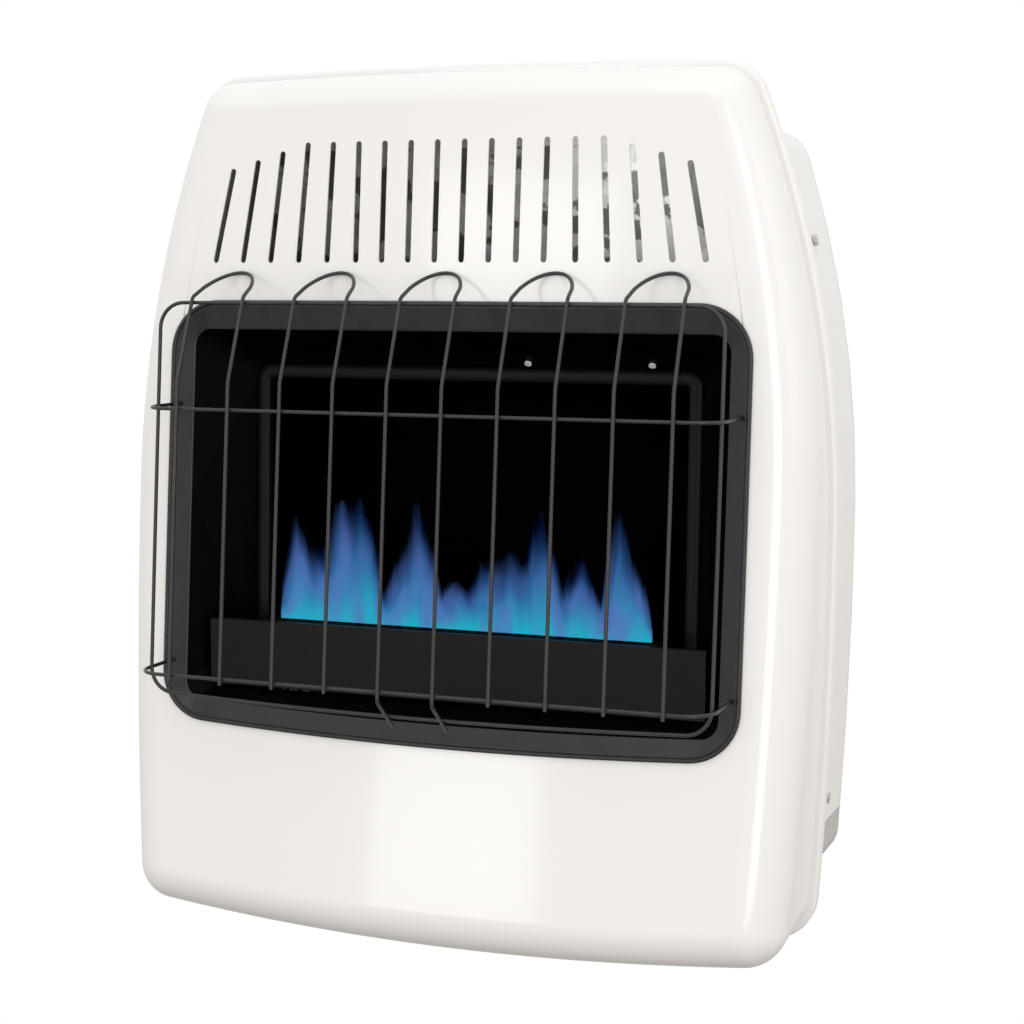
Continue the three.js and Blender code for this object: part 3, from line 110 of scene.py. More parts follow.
VALLEYS = [(-119, -45), (-95, -14), (-66.4, -78), (-16.2, -74), (10, -72), (31, -54), (57, -50),
           (88, -70), (121, -76)]


def face_y(x, z):
    return -179.55 + LEAN * z + BOW * x * x


def rim_y(x, z):
    return -100 - 0.03 * max(z, 0)


def inner_y(x, z):
    return -115 + 0.04 * z


def edge_radius(z):
    return EDGE - 0.03 * max(z, 0)


def guard_y(z):
    return -236.75 + 0.0901 * z


def ring_y(z):
    return -213.3 + 0.0885 * z


def fillet(a, b, radius):
    """Circle of the radius inside the circles a and b, touching both; each is (x, z, radius)."""
    ra, rb = a[2] - radius, b[2] - radius
    dx, dz = b[0] - a[0], b[1] - a[1]
    apart = math.hypot(dx, dz)
    along = (ra * ra - rb * rb + apart * apart) / (2 * apart)
    across = math.sqrt(ra * ra - along * along)
    return (a[0] + (along * dx + across * dz) / apart, a[1] + (along * dz - across * dx) / apart, radius)


def arc(centre, start, stop, steps):
    """Points on the circle from the start angle up to, and without, the stop angle."""
    out = []
    for i in range(steps):
        angle = start + (stop - start) * i / steps
        out.append((centre[0] + centre[2] * math.cos(angle), centre[1] + centre[2] * math.sin(angle)))
    return out


def outline(form, inset=0.0, counts=(20, 12, 14, 12, 20)):
    """Closed outline in X and Z, clockwise from the middle of the top, moved in by the inset."""
    top = (0, form["top"] - form["top_r"], form["top_r"] - inset)
    upper = (form["half"] - form["upper"], 0, form["upper"] - inset)
    lower = (form["half"] - form["lower"], 0, form["lower"] - inset)
    bottom = (0, form["bottom"] + form["bottom_r"], form["bottom_r"] - inset)
    high = fillet(top, upper, max(form["high"] - inset, 3))
    low = fillet(lower, bottom, max(form["low"] - inset, 3))

    def toward(a, b):
        return math.atan2(b[1] - a[1], b[0] - a[0])

    half = arc(top, math.pi / 2, toward(top, high), counts[0])
    half += arc(high, toward(top, high), toward(upper, high), counts[1])
    half += arc(upper, toward(upper, high), 0, counts[2])
    half += arc(lower, 0, toward(lower, low), counts[3])
    half += arc(low, toward(lower, low), toward(bottom, low), counts[1])
    half += arc(bottom, toward(bottom, low), -math.pi / 2, counts[4])
    mirrored = [(-x, z) for x, z in reversed(half[1:])]
    return half + [(0, form["bottom"] + inset)] + mirrored


def ring_at(points, depth):
    return [(x, depth(x, z), z) for x, z in points]


def ring_between(outer, inner, share, depth):
    """Ring of points that lie a share of the way from the outer outline to the inner one."""
    out = []
    for (x, z), (u, v) in zip(outer, inner):
        s = share(z)
        px, pz = x + (u - x) * s, z + (v - z) * s
        out.append((px, depth(px, pz, z), pz))
    return out


# ---------- meshes ----------


def mesh_object(name, verts, faces, material, sharp=35.0):
    """Mesh object from millimetre vertices, shaded smooth except across sharp edges."""
    mesh = bpy.data.meshes.new(name)
    mesh.from_pydata([(x / 1000, y / 1000, z / 1000) for x, y, z in verts], [], faces)
    mesh.validate()
    work = bmesh.new()
    work.from_mesh(mesh)
    bmesh.ops.recalc_face_normals(work, faces=work.faces)
    limit = math.radians(sharp)
    for f in work.faces:
        f.smooth = True
    for e in work.edges:
        if len(e.link_faces) == 2 and e.calc_face_angle(0) > limit:
            e.smooth = False
    work.to_mesh(mesh)
    work.free()
    obj = bpy.data.objects.new(name, mesh)
    bpy.context.scene.collection.objects.link(obj)
    mesh.materials.append(material)
    return obj


def loft(name, rings, material, capped=False, sharp=35.0):
    """Closed skin over the rings: round again to the first one, or with both ends capped."""
    count = len(rings[0])
    verts = [p for ring in rings for p in ring]
    rows = len(rings) - 1 if capped else len(rings)
    faces = []
    for i in range(rows):
        here, after = i * count, ((i + 1) % len(rings)) * count
        for j in range(count):
            k = (j + 1) % count
            faces.append((here + j, here + k, after + k, after + j))
    if capped:
        faces.append(tuple(range(count))[::-1])
        faces.append(tuple((len(rings) - 1) * count + j for j in range(count)))
    return mesh_object(name, verts, faces, material, sharp)


def resharpen(obj, sharp):
    """Marks the edges whose faces meet at more than the angle in degrees as sharp."""
    work = bmesh.new()
    work.from_mesh(obj.data)
    limit = math.radians(sharp)
    for e in work.edges:
        e.smooth = not (len(e.link_faces) == 2 and e.calc_face_angle(0) > limit)
    for f in work.faces:
        f.smooth = True
    work.to_mesh(obj.data)
    work.free()


def cut_away(obj, tools, sharp):
    """Cuts the joined tools out of the object and removes them."""
    bpy.ops.object.select_all(action="DESELECT")
    for tool in tools:
        tool.select_set(True)
    tool = tools[0]
    bpy.context.view_layer.objects.active = tool
    bpy.ops.object.join()
    modifier = obj.modifiers.new("cut", "BOOLEAN")
    modifier.operation = "DIFFERENCE"
    modifier.solver = "EXACT"
    modifier.object = tool
    graph = bpy.context.evaluated_depsgraph_get()
    mesh = bpy.data.meshes.new_from_object(obj.evaluated_get(graph))
    obj.modifiers.remove(modifier)
    obj.data = mesh
    bpy.data.objects.remove(tool, do_unlink=True)
    resharpen(obj, sharp)


def true_face_normals(obj):
    """Gives corners on the bowed face the face's own normals, free of the facets' creases."""
    mesh = obj.data
    normals = [Vector(corner.vector) for corner in mesh.corner_normals]
    for polygon in mesh.polygons:
        if polygon.normal.y > -0.5:
            continue
        for loop in polygon.loop_indices:
            x, y, z = mesh.vertices[mesh.loops[loop].vertex_index].co * 1000
            if abs(y - face_y(x, z)) < NEAR_FACE:
                normals[loop] = Vector((2 * BOW * x, -1, LEAN)).normalized()
    mesh.normals_split_custom_set(normals)


def stadium(a, b, width, steps=8):
    """Outline of a slot with round ends, whose centres are a and b."""
    along = math.atan2(b[1] - a[1], b[0] - a[0])
    out = []
    for end, centre in enumerate((b, a)):
        for i in range(steps + 1):
            angle = along - math.pi / 2 + end * math.pi + math.pi * i / steps
            out.append((centre[0] + width / 2 * math.cos(angle), centre[1] + width / 2 * math.sin(angle)))
    return out


def prism_y(name, outline_xz, y0, y1, material):
    rings = [[(x, y0, z) for x, z in outline_xz], [(x, y1, z) for x, z in outline_xz]]
    return loft(name, rings, material, capped=True)


def wire(name, path, radius, material, closed=False, sides=16):
    """Round wire of the radius in millimetres along a path of points."""
    points = [Vector(p) for p in path]
    count = len(points)
    rings = []
    normal = None
    for i, p in enumerate(points):
        if closed:
            before, after = points[i - 1], points[(i + 1) % count]
        else:
            before, after = points[max(i - 1, 0)], points[min(i + 1, count - 1)]
        a, b = (p - before), (after - p)
        a = a.normalized() if a.length > 1e-6 else b.normalized()
        b = b.normalized() if b.length > 1e-6 else a
        tangent = (a + b).normalized()
        if normal is None:
            normal = tangent.orthogonal().normalized()
        normal = (normal - tangent * normal.dot(tangent)).normalized()
        side = tangent.cross(normal)
        ring = []
        for k in range(sides):
            angle = 2 * math.pi * k / sides
            ring.append(tuple(p + radius * (math.cos(angle) * normal + math.sin(angle) * side)))
        rings.append(ring)
    if closed:
        twist = best_twist(rings[-1], rings[0])
        turns = [round(twist * i / len(rings)) for i in range(len(rings))]
        rings = [ring[turn:] + ring[:turn] for turn, ring in zip(turns, rings)]
    return loft(name, rings, material, capped=not closed, sharp=60.0)


def best_twist(last, first):
    """Number of corners to turn the last ring by, so that it meets the first one straight."""
    def cost(k):
        turned = last[k:] + last[:k]
        return sum((Vector(a) - Vector(b)).length for a, b in zip(turned, first))
    return min(range(-len(last) // 2, len(last) // 2 + 1), key=cost)


def rounded(corners, radius, steps=8):
    """Path through the corners, each bent on the radius."""
    points = [Vector(corners[0])]
    for i in range(1, len(corners) - 1):
        here = Vector(corners[i])
        a = (Vector(corners[i - 1]) - here).normalized()
        b = (Vector(corners[i + 1]) - here).normalized()
        half = a.angle(b) / 2
        centre = (a + b).normalized() * (radius / math.sin(half)) + here
        start = a * (radius / math.tan(half)) + here - centre
        end = b * (radius / math.tan(half)) + here - centre
        sweep = start.angle(end)
        for k in range(steps + 1):
            t = k / steps
            p = start * (math.sin((1 - t) * sweep) / math.sin(sweep))
            p += end * (math.sin(t * sweep) / math.sin(sweep))
            points.append(p + centre)
    points.append(Vector(corners[-1]))
    return points


# ---------- materials ----------


def shader(name, colour, roughness, metallic=0.0, coat=0.0, spec=0.5):
    material = bpy.data.materials.new(name)
    material.use_nodes = True
    nodes = material.node_tree.nodes
    bsdf = nodes["Principled BSDF"]
    bsdf.inputs["Base Color"].default_value = (*colour, 1)
    bsdf.inputs["Roughness"].default_value = roughness
    bsdf.inputs["Metallic"].default_value = metallic
    bsdf.inputs["Coat Weight"].default_value = coat
    bsdf.inputs["Coat Roughness"].default_value = 0.05
    bsdf.inputs["Specular IOR Level"].default_value = spec
    return material, bsdf


def grain(material, bsdf, colour, other, scale, strength, roughness, detail, bump):
    """Colour and roughness drift over the surface, with a fine bump, from object coordinates."""
    tree = material.node_tree
    place = tree.nodes.new("ShaderNodeTexCoord")
    drift = tree.nodes.new("ShaderNodeTexNoise")
    drift.inputs["Scale"].default_value = scale
    drift.inputs["Detail"].default_value = detail
    tree.links.new(place.outputs["Object"], drift.inputs["Vector"])
    mix = tree.nodes.new("ShaderNodeMix")
    mix.data_type = "RGBA"
    mix.inputs["A"].default_value = (*colour, 1)
    mix.inputs["B"].default_value = (*other, 1)
    span = tree.nodes.new("ShaderNodeMapRange")
    span.inputs["From Min"].default_value = 0.3
    span.inputs["From Max"].default_value = 0.7
    span.inputs["To Max"].default_value = strength
    tree.links.new(drift.outputs["Fac"], span.inputs["Value"])
    tree.links.new(span.outputs["Result"], mix.inputs["Factor"])
    tree.links.new(mix.outputs["Result"], bsdf.inputs["Base Color"])
    rough = tree.nodes.new("ShaderNodeMapRange")
    rough.inputs["From Min"].default_value = 0.3
    rough.inputs["From Max"].default_value = 0.7
    rough.inputs["To Min"].default_value = roughness[0]
    rough.inputs["To Max"].default_value = roughness[1]
    tree.links.new(drift.outputs["Fac"], rough.inputs["Value"])
    tree.links.new(rough.outputs["Result"], bsdf.inputs["Roughness"])
    if bump:
        fine = tree.nodes.new("ShaderNodeTexNoise")
        fine.inputs["Scale"].default_value = scale * 12
        fine.inputs["Detail"].default_value = 2.0
        tree.links.new(place.outputs["Object"], fine.inputs["Vector"])
        lift = tree.nodes.new("ShaderNodeBump")
        lift.inputs["Distance"].default_value = bump
        lift.inputs["Strength"].default_value = 0.5
        tree.links.new(fine.outputs["Fac"], lift.inputs["Height"])
        tree.links.new(lift.outputs["Normal"], bsdf.inputs["Normal"])
    return material


def enamel_white(name, colour, rough):
    material, bsdf = shader(name, colour, rough, coat=0.6)
    other = tuple(c * 0.985 for c in colour)
    return grain(material, bsdf, colour, other, 6.0, 0.6, (rough, rough + 0.03), 2.0, 0.0)


def black_enamel(name, colour, rough, spec=0.5):
    material, bsdf = shader(name, colour, rough[0], spec=spec)
    other = tuple(c * 1.6 for c in colour)
    return grain(material, bsdf, colour, other, 60.0, 0.5, rough, 5.0, 0.00004)


def metal(name, colour, rough):
    material, bsdf = shader(name, colour, rough[0], metallic=1.0)
    other = tuple(c * 0.7 for c in colour)
    return grain(material, bsdf, colour, other, 40.0, 0.7, rough, 6.0, 0.00003)


def galvanised(name):
    """Pale zinc spangle with dull dark patches."""
    material, bsdf = shader(name, (0.55, 0.56, 0.55), 0.45, metallic=0.15)
    tree = material.node_tree
    place = tree.nodes.new("ShaderNodeTexCoord")
    cells = tree.nodes.new("ShaderNodeTexVoronoi")
    cells.inputs["Scale"].default_value = 70.0
    tree.links.new(place.outputs["Object"], cells.inputs["Vector"])
    patches = tree.nodes.new("ShaderNodeTexNoise")
    patches.inputs["Scale"].default_value = 26.0
    patches.inputs["Detail"].default_value = 6.0
    tree.links.new(place.outputs["Object"], patches.inputs["Vector"])
    spangle = tree.nodes.new("ShaderNodeValToRGB")
    spangle.color_ramp.elements[0].color = (0.55, 0.56, 0.55, 1)
    spangle.color_ramp.elements[1].color = (0.95, 0.96, 0.95, 1)
    tree.links.new(cells.outputs["Color"], spangle.inputs["Fac"])
    edge = tree.nodes.new("ShaderNodeValToRGB")
    edge.color_ramp.elements[0].position = 0.49
    edge.color_ramp.elements[0].color = (0.22, 0.22, 0.22, 1)
    edge.color_ramp.elements[1].position = 0.51
    edge.color_ramp.elements[1].color = (1, 1, 1, 1)
    tree.links.new(patches.outputs["Fac"], edge.inputs["Fac"])
    mix = tree.nodes.new("ShaderNodeMix")
    mix.data_type = "RGBA"
    mix.blend_type = "MULTIPLY"
    mix.inputs["Factor"].default_value = 1.0
    tree.links.new(spangle.outputs["Color"], mix.inputs["A"])
    tree.links.new(edge.outputs["Color"], mix.inputs["B"])
    tree.links.new(mix.outputs["Result"], bsdf.inputs["Base Color"])
    return material


def plastic(name, colour, rough):
    material, bsdf = shader(name, colour, rough[0])
    other = tuple(c * 0.85 for c in colour)
    return grain(material, bsdf, colour, other, 90.0, 0.5, rough, 4.0, 0.00003)


def make_finishes(casing, guard, flames):
    """One material for each slot of the record, and two more for pieces that look different; the pale screw
    one paints the glints of the firebox screws.
    """
    FINISHES.update({
        "gloss_white": enamel_white("gloss white enamel", tuple(casing.enamel), 0.14),
        "satin_white": enamel_white("satin white powder coat", (0.84, 0.825, 0.81), 0.30),
        "grey_back": plastic("grey primed sheet", (0.52, 0.50, 0.48), (0.4, 0.55)),
        "zinc_plate": metal("zinc plate", (0.72, 0.72, 0.70), (0.2, 0.35)),
        # Pale, nearly non-metal screw heads: a painted glint in place of the reflections the zinc would
        # show.
        "painted_glint_zinc": plastic("screw head painted glint", (0.85, 0.85, 0.83), (0.2, 0.3)),
        "galvanised": galvanised("spangled zinc sheet"),
        "satin_black": black_enamel("satin black paint", (0.016, 0.0155, 0.016), (0.22, 0.32), 0.45),
        "flare_enamel": black_enamel("dark brown enamel", (0.0012, 0.0008, 0.0007), (0.25, 0.35), 0.05),
        "frame_steel": black_enamel("heat toned steel", (0.005, 0.004, 0.0038), (0.3, 0.4), 0.13),
        "soot_black": black_enamel("heat proof black", (0.0004, 0.0004, 0.0006), (0.6, 0.7), 0.01),
        "panel_steel": black_enamel("brownish satin sheet", (0.0062, 0.0046, 0.004), (0.4, 0.5), 0.17),
        "burner_steel": metal("stamped steel", (0.20, 0.19, 0.18), (0.35, 0.5)),
        "sooted_steel": black_enamel("sooted steel", (0.003, 0.003, 0.003), (0.6, 0.7), 0.03),
        "brass": metal("brass", (0.70, 0.52, 0.25), (0.25, 0.35)),
        "copper": metal("copper", (0.75, 0.40, 0.26), (0.3, 0.4)),
        "cast_aluminium": metal("cast aluminium", (0.62, 0.63, 0.64), (0.4, 0.5)),
        "ceramic": plastic("glazed ceramic", (0.80, 0.77, 0.70), (0.2, 0.3)),
        "black_plastic": plastic("black moulding", (0.02, 0.02, 0.02), (0.4, 0.5)),
        "red_plastic": plastic("red moulding", (0.45, 0.03, 0.025), (0.25, 0.35)),
        "blue_flame": flame_material(flames.strength),
        "guard_wire": black_enamel("black coated wire", tuple(guard.coating), (0.28, 0.38)),
    })


def stand_for(obj, node):
    """Lets the piece ride on the heater's body in place of the node."""
    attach(obj, BODY)
    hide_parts(node)


# ---------- pieces ----------


def build_casing(settings):
    """Sheet with a rolled lip and rim, a roundover, the bowed face, a window and two fans of slots."""
    rings = []
    outer, full = outline(CASING), outline(CASING, EDGE)
    window = outline(BEZEL, 4.5)
    wall = settings.wall * 1000

    def rim(inset, back):
        rings.append(ring_at(outline(RIM, inset), lambda x, z: rim_y(x, z) + back))

    def edge(angle, thick):
        sin, cos = math.sin(angle), math.cos(angle)
        rings.append(ring_between(
            outer, full,
            lambda z: (edge_radius(z) - (edge_radius(z) - thick) * cos) / EDGE,
            lambda x, y, z: face_y(x, y) + edge_radius(z) - (edge_radius(z) - thick) * sin,
        ))

    rim(-LIP, 10)
    rim(-LIP, 3)
    for i in range(1, 6):
        angle = math.pi / 2 * i / 6
        rim(-LIP + 3 - 3 * math.cos(angle), 3 - 3 * math.sin(angle))
    rim(-3.5, 0)
    rim(-1.2, 0.15)
    rim(-0.3, 0.1)
    rim(0, -0.4)
    for i in range(15):
        edge(math.pi / 2 * i / 14, 0)
    last = rings[-1]
    for i in range(1, 14):
        share = i / 14
        ring = []
        for (x, _, z), (u, v) in zip(last, window):
            px, pz = x + (u - x) * share, z + (v - z) * share
            ring.append((px, face_y(px, pz), pz))
        rings.append(ring)
    rings.append(ring_at(window, face_y))
    rings.append(ring_at(window, lambda x, z: face_y(x, z) + wall))
    for i in range(6, -1, -1):
        edge(math.pi / 2 * i / 6, wall)
    rim(wall, wall + 0.5)
    rim(-3.5, wall + 0.1)
    rim(-LIP + wall, wall + 2)
    rim(-LIP + wall, 10)
    casing = loft("casing_skin", rings, FINISHES["gloss_white"], sharp=50.0)
    cut_away(casing, slot_cutters(), 50.0)
    true_face_normals(casing)
    stand_for(casing, "front_casing")


def slot_cutters():
    """Prisms for the slots: upright near the middle, fanned out and shorter toward the sides."""
    tools = []
    for i in range(SLOTS["a_side"]):
        fanned, straight = max(i - SLOTS["straight"], 0), min(i, SLOTS["straight"])
        top_x = SLOTS["first"] + SLOTS["pitch"] * i
        low_x = SLOTS["first"] + SLOTS["pitch"] * straight + SLOTS["fan_pitch"] * fanned
        top_z = SLOTS["high"] - SLOTS["drop"] * max(i - SLOTS["full"], 0)
        for side in (-1, 1):
            slot = stadium((side * low_x, SLOTS["low"]), (side * top_x, top_z), SLOTS["width"])
            tools.append(prism_y("slot", slot, -180, -135, FINISHES["gloss_white"]))
    return tools


def build_bezel():
    """Round bead on the casing's face and a flange that sinks to the firebox's mouth."""
    mouth = outline(MOUTH)
    start = outline(BEZEL, 4.6)
    rings = []

    def bead(inset, back):
        rings.append(ring_at(outline(BEZEL, inset), lambda x, z: face_y(x, z) + back))

    def flange(share, back):
        rings.append(ring_between(start, mouth, lambda z: share, lambda x, y, z: face_y(x, y) + back))

    bead(0, -GAP)
    bead(0, -1.6)
    for i in range(7):
        angle = math.pi * i / 6
        bead(1.7 - 1.7 * math.cos(angle), -1.9 - 1.3 * math.sin(angle))
    bead(3.8, -1.3)
    flange(0, -1.5)
    flange(0.03, -1.3)
    flange(0.9, 4.7)
    flange(0.97, 5.15)
    flange(1, 5.6)
    flange(1, 6.6)
    rings.append(ring_at(outline(BEZEL, 5.4), lambda x, z: face_y(x, z) - GAP))
    bezel = loft("bezel_skin", rings, FINISHES["satin_black"], sharp=45.0)
    tools = []
    for x in (-RAILS["half"], RAILS["half"]):
        for z in (RAILS["upper"], RAILS["lower"]):
            tools.append(wire("hole", [(x, -215, z), (x, -140, z)], RAILS["hole"], FINISHES["satin_black"]))
    cut_away(bezel, tools, 45.0)
    stand_for(bezel, "bezel_frame")


def build_inner_frame():
    """Rolled border round the firebox's opening."""
    counts = (4, 8, 4, 4, 4)
    rings = []

    def ring(inset, back):
        rings.append(ring_at(outline(FIREBOX, inset, counts), lambda x, z: inner_y(x, z) + back))

    def roll(start, stop, rise, shares):
        half = (stop - start) / 2
        for share in shares:
            angle = math.pi * share
            ring(start + half - half * math.cos(angle), -1 - rise * math.sin(angle))

    width, wall = 11.8, 1.2
    ring(0, 3)
    roll(0, width, 3, [i / 8 for i in range(9)])
    ring(width, 3)
    ring(width - wall, 3)
    roll(wall, width - wall, 2.1, [1 - i / 8 for i in range(9)])
    ring(wall, 3)
    frame = loft("inner_frame_skin", rings, FINISHES["frame_steel"], sharp=60.0)
    stand_for(frame, "inner_frame")


def hairpin_path(number):
    """One hairpin: up one leg, over the crest that rests on the casing, and down the other."""
    half = HAIRPIN["half"]
    middle = (number - (HAIRPIN["count"] - 1) / 2) * HAIRPIN["pitch"]
    crest = (face_y(middle, 180) - 1.8, HAIRPIN["crest"])
    cross = (ring_y(RING["top"]) - 2.1, HAIRPIN["cross"])
    bow = []
    for i in range(1, 24):
        angle = math.pi * i / 24
        rise = math.sin(angle)
        y = cross[0] + (crest[0] - cross[0]) * rise
        z = cross[1] + (crest[1] - cross[1]) * rise
        bow.append((half * math.cos(angle), y, z))
    foot_z = RAILS["lower"] - HAIRPIN["past_rail"]
    start = [(half, guard_y(foot_z), foot_z)]
    if middle == 0:
        start = [HAIRPIN["foot"], (half, guard_y(HAIRPIN["knee"]), HAIRPIN["knee"])]
    shoulder = HAIRPIN["shoulder"]
    corners = start + [(half, guard_y(shoulder), shoulder), (half, cross[0], cross[1]), bow[3]]
    leg = [tuple(p) for p in rounded(corners, HAIRPIN["bend"])][:-1]
    other = [(-x, y, z) for x, y, z in reversed(leg)]
    return [(x + middle, y, z) for x, y, z in leg + bow[2:-2] + other]


def build_guard(settings):
    """Ring, two rails that hook into the bezel, and five hairpins."""
    radius = settings.wire * 500
    black = FINISHES["guard_wire"]
    path = ring_at(outline(RING, 0, (6, 10, 3, 3, 6)), lambda x, z: ring_y(z))
    ring = wire("guard_ring_wire", path, radius, black, closed=True)
    stand_for(ring, "guard_ring")
    half = RAILS["half"]
    for side in ("upper", "lower"):
        z = RAILS[side]
        y = guard_y(z) + RAILS["before_guard"]
        end = face_y(half, z) + RAILS["entry"]
        corners = [(-half, end, z), (-half, y, z), (half, y, z), (half, end, z)]
        rail = wire("guard_rail_%s_wire" % side, rounded(corners, RAILS["bend"], 12), radius, black)
        stand_for(rail, "guard_rail_" + side)
    for number in range(HAIRPIN["count"]):
        pin = wire("guard_hairpin_wire_%d" % (number + 1), hairpin_path(number), radius, black)
        stand_for(pin, "guard_hairpin_%d" % (number + 1))


def flame_material(strength):
    """Clear blue fire: UV across in units of 80 mm and up from the burner to the tip."""
    material = bpy.data.materials.new("blue flame")
    material.use_nodes = True
    tree = material.node_tree
    tree.nodes.clear()
    link = tree.links.new
    place = tree.nodes.new("ShaderNodeUVMap")
    place.uv_map = "flame"
    split = tree.nodes.new("ShaderNodeSeparateXYZ")
    link(place.outputs["UV"], split.inputs["Vector"])

    def drawn_out(scale, detail):
        stretch = tree.nodes.new("ShaderNodeMapping")
        stretch.inputs["Scale"].default_value = scale
        link(place.outputs["UV"], stretch.inputs["Vector"])
        streaks = tree.nodes.new("ShaderNodeTexNoise")
        streaks.inputs["Scale"].default_value = 1.0
        streaks.inputs["Detail"].default_value = detail
        link(stretch.outputs["Vector"], streaks.inputs["Vector"])
        return streaks.outputs["Fac"]

    height = tree.nodes.new("ShaderNodeMath")
    height.operation = "MULTIPLY_ADD"
    height.inputs[1].default_value = 0.75
    link(drawn_out((5.5, 0.5, 1.0), 2.0), height.inputs[0])
    link(split.outputs["Y"], height.inputs[2])
    scaled = tree.nodes.new("ShaderNodeMath")
    scaled.operation = "DIVIDE"
    scaled.inputs[1].default_value = FLAME_SPAN
    link(height.outputs["Value"], scaled.inputs[0])
    ramp = tree.nodes.new("ShaderNodeValToRGB")
    first, last = ramp.color_ramp.elements
    first.position, first.color = FLAME_COLOURS[0][0] / FLAME_SPAN, FLAME_COLOURS[0][1]
    last.position, last.color = FLAME_COLOURS[-1][0] / FLAME_SPAN, FLAME_COLOURS[-1][1]
    for position, colour in FLAME_COLOURS[1:-1]:
        ramp.color_ramp.elements.new(position / FLAME_SPAN).color = colour
    link(scaled.outputs["Value"], ramp.inputs["Fac"])
    share = tree.nodes.new("ShaderNodeMapRange")
    share.inputs["From Min"].default_value = 0.46
    share.inputs["From Max"].default_value = 0.58
    share.inputs["To Max"].default_value = 0.85
    link(drawn_out((3.4, 1.02, 3.4), 1.0), share.inputs["Value"])
    tint = tree.nodes.new("ShaderNodeMix")
    tint.data_type = "RGBA"
    tint.inputs["B"].default_value = (0.09, 0.18, 0.52, 1)
    link(share.outputs["Result"], tint.inputs["Factor"])
    link(ramp.outputs["Color"], tint.inputs["A"])
    glow = tree.nodes.new("ShaderNodeEmission")
    glow.inputs["Strength"].default_value = strength
    link(tint.outputs["Result"], glow.inputs["Color"])
    fade = tree.nodes.new("ShaderNodeMapRange")
    fade.interpolation_type = "SMOOTHSTEP"
    fade.inputs["From Min"].default_value = 0.78
    fade.inputs["From Max"].default_value = 1.42
    fade.inputs["To Min"].default_value = 0.56
    fade.inputs["To Max"].default_value = 0.0
    link(height.outputs["Value"], fade.inputs["Value"])
    clear = tree.nodes.new("ShaderNodeBsdfTransparent")
    mix = tree.nodes.new("ShaderNodeMixShader")
    link(fade.outputs["Result"], mix.inputs["Fac"])
    link(clear.outputs["BSDF"], mix.inputs[1])
    link(glow.outputs["Emission"], mix.inputs[2])
    out = tree.nodes.new("ShaderNodeOutputMaterial")
    link(mix.outputs["Shader"], out.inputs["Surface"])
    return material


def flame_edge(x, layer, shrink):
    """Height of the fire's edge over a point, in soft waves between the tips and the valleys."""
    x = min(max(x, -FLAME_HALF), FLAME_HALF)
    marks = sorted([(-FLAME_HALF, -86), (FLAME_HALF, -92)] + TIPS + VALLEYS)
    for (x0, z0), (x1, z1) in zip(marks, marks[1:]):
        if x0 <= x <= x1:
            t = (x - x0) / (x1 - x0)
            t = 0.8 * t * t * (3 - 2 * t) + 0.2 * t
            top = z0 + (z1 - z0) * t - FLAME_BASE
            break
    licks = noise.noise(Vector((x * 0.09, layer * 7.7, 2.0))) * 0.12
    licks += noise.noise(Vector((x * 0.3, layer * 5.3, 7.0))) * 0.04
    return min(top * (shrink + licks), FLAME_LIMIT)


def build_flames():
    """Three thin sheets of fire, one behind the other, inside the form of the flame curtain."""
    verts, faces, uvs = [], [], []
    columns, rows = 400, 24
    for layer, (y, shrink, shift) in enumerate(FLAME_SHEETS):
        first = len(verts)
        for i in range(columns + 1):
            x = -FLAME_HALF + 2 * FLAME_HALF * i / columns
            top = flame_edge(x + shift, layer, shrink)
            for j in range(rows + 1):
                share = j / rows
                verts.append((x, y, FLAME_BASE + top * share))
                uvs.append((x / FLAME_UNIT + 3.7 * layer, share))
        for i in range(columns):
            for j in range(rows):
                a = first + i * (rows + 1) + j
                faces.append((a, a + rows + 1, a + rows + 2, a + 1))
    mesh = bpy.data.meshes.new("flame_sheets")
    mesh.from_pydata([(x / 1000, y / 1000, z / 1000) for x, y, z in verts], [], faces)
    spread = mesh.uv_layers.new(name="flame")
    for loop in mesh.loops:
        spread.data[loop.index].uv = uvs[loop.vertex_index]
    obj = bpy.data.objects.new("flame_sheets", mesh)
    bpy.context.scene.collection.objects.link(obj)
    mesh.materials.append(FINISHES["blue_flame"])
    stand_for(obj, "flame_curtain")


# Finishes in place of the record's slots: the firebox screws get the pale finish with their glint painted
# in, and the burner's parts get sooted steel.
OWN_FINISH = {
    "firebox_screw_1": "painted_glint_zinc",
    "firebox_screw_2": "painted_glint_zinc",
    "burner_body": "sooted_steel",
    "burner_bracket_left": "sooted_steel",
    "burner_bracket_right": "sooted_steel",
    "pilot_bracket": "sooted_steel",
    "pilot_burner": "sooted_steel",
    "igniter_electrode": "sooted_steel",
    "igniter_wire": "sooted_steel",
    "thermocouple": "sooted_steel",
    "pilot_tube": "sooted_steel",
}


def paint_frame():
    """Gives each solid of the frame its finish."""
    slots = {part["node"]: part["material_slot"] for part in FRAME["record"]["subparts"]}
    for name, obj in FRAME["nodes"].items():
        slot = OWN_FINISH.get(name, slots.get(name))
        material = FINISHES.get(slot)
        if material is None:
            raise RuntimeError("no finish for node " + name)
        obj.data.materials.clear()
        obj.data.materials.append(material)


# ---------- stage ----------


def area_light(name, place, aim, size, power):
    data = bpy.data.lights.new(name, "AREA")
    data.shape = "RECTANGLE"
    data.size, data.size_y = size
    data.energy = power
    obj = bpy.data.objects.new(name, data)
    obj.location = place
    obj.rotation_euler = (Vector(aim) - Vector(place)).to_track_quat("-Z", "Y").to_euler()
    bpy.context.scene.collection.objects.link(obj)


CAMERA_PLACE = (0.6214, -1.6418, 0.1846)
CAMERA_YAW = math.radians(21)
CAMERA_PITCH = math.radians(6.59)
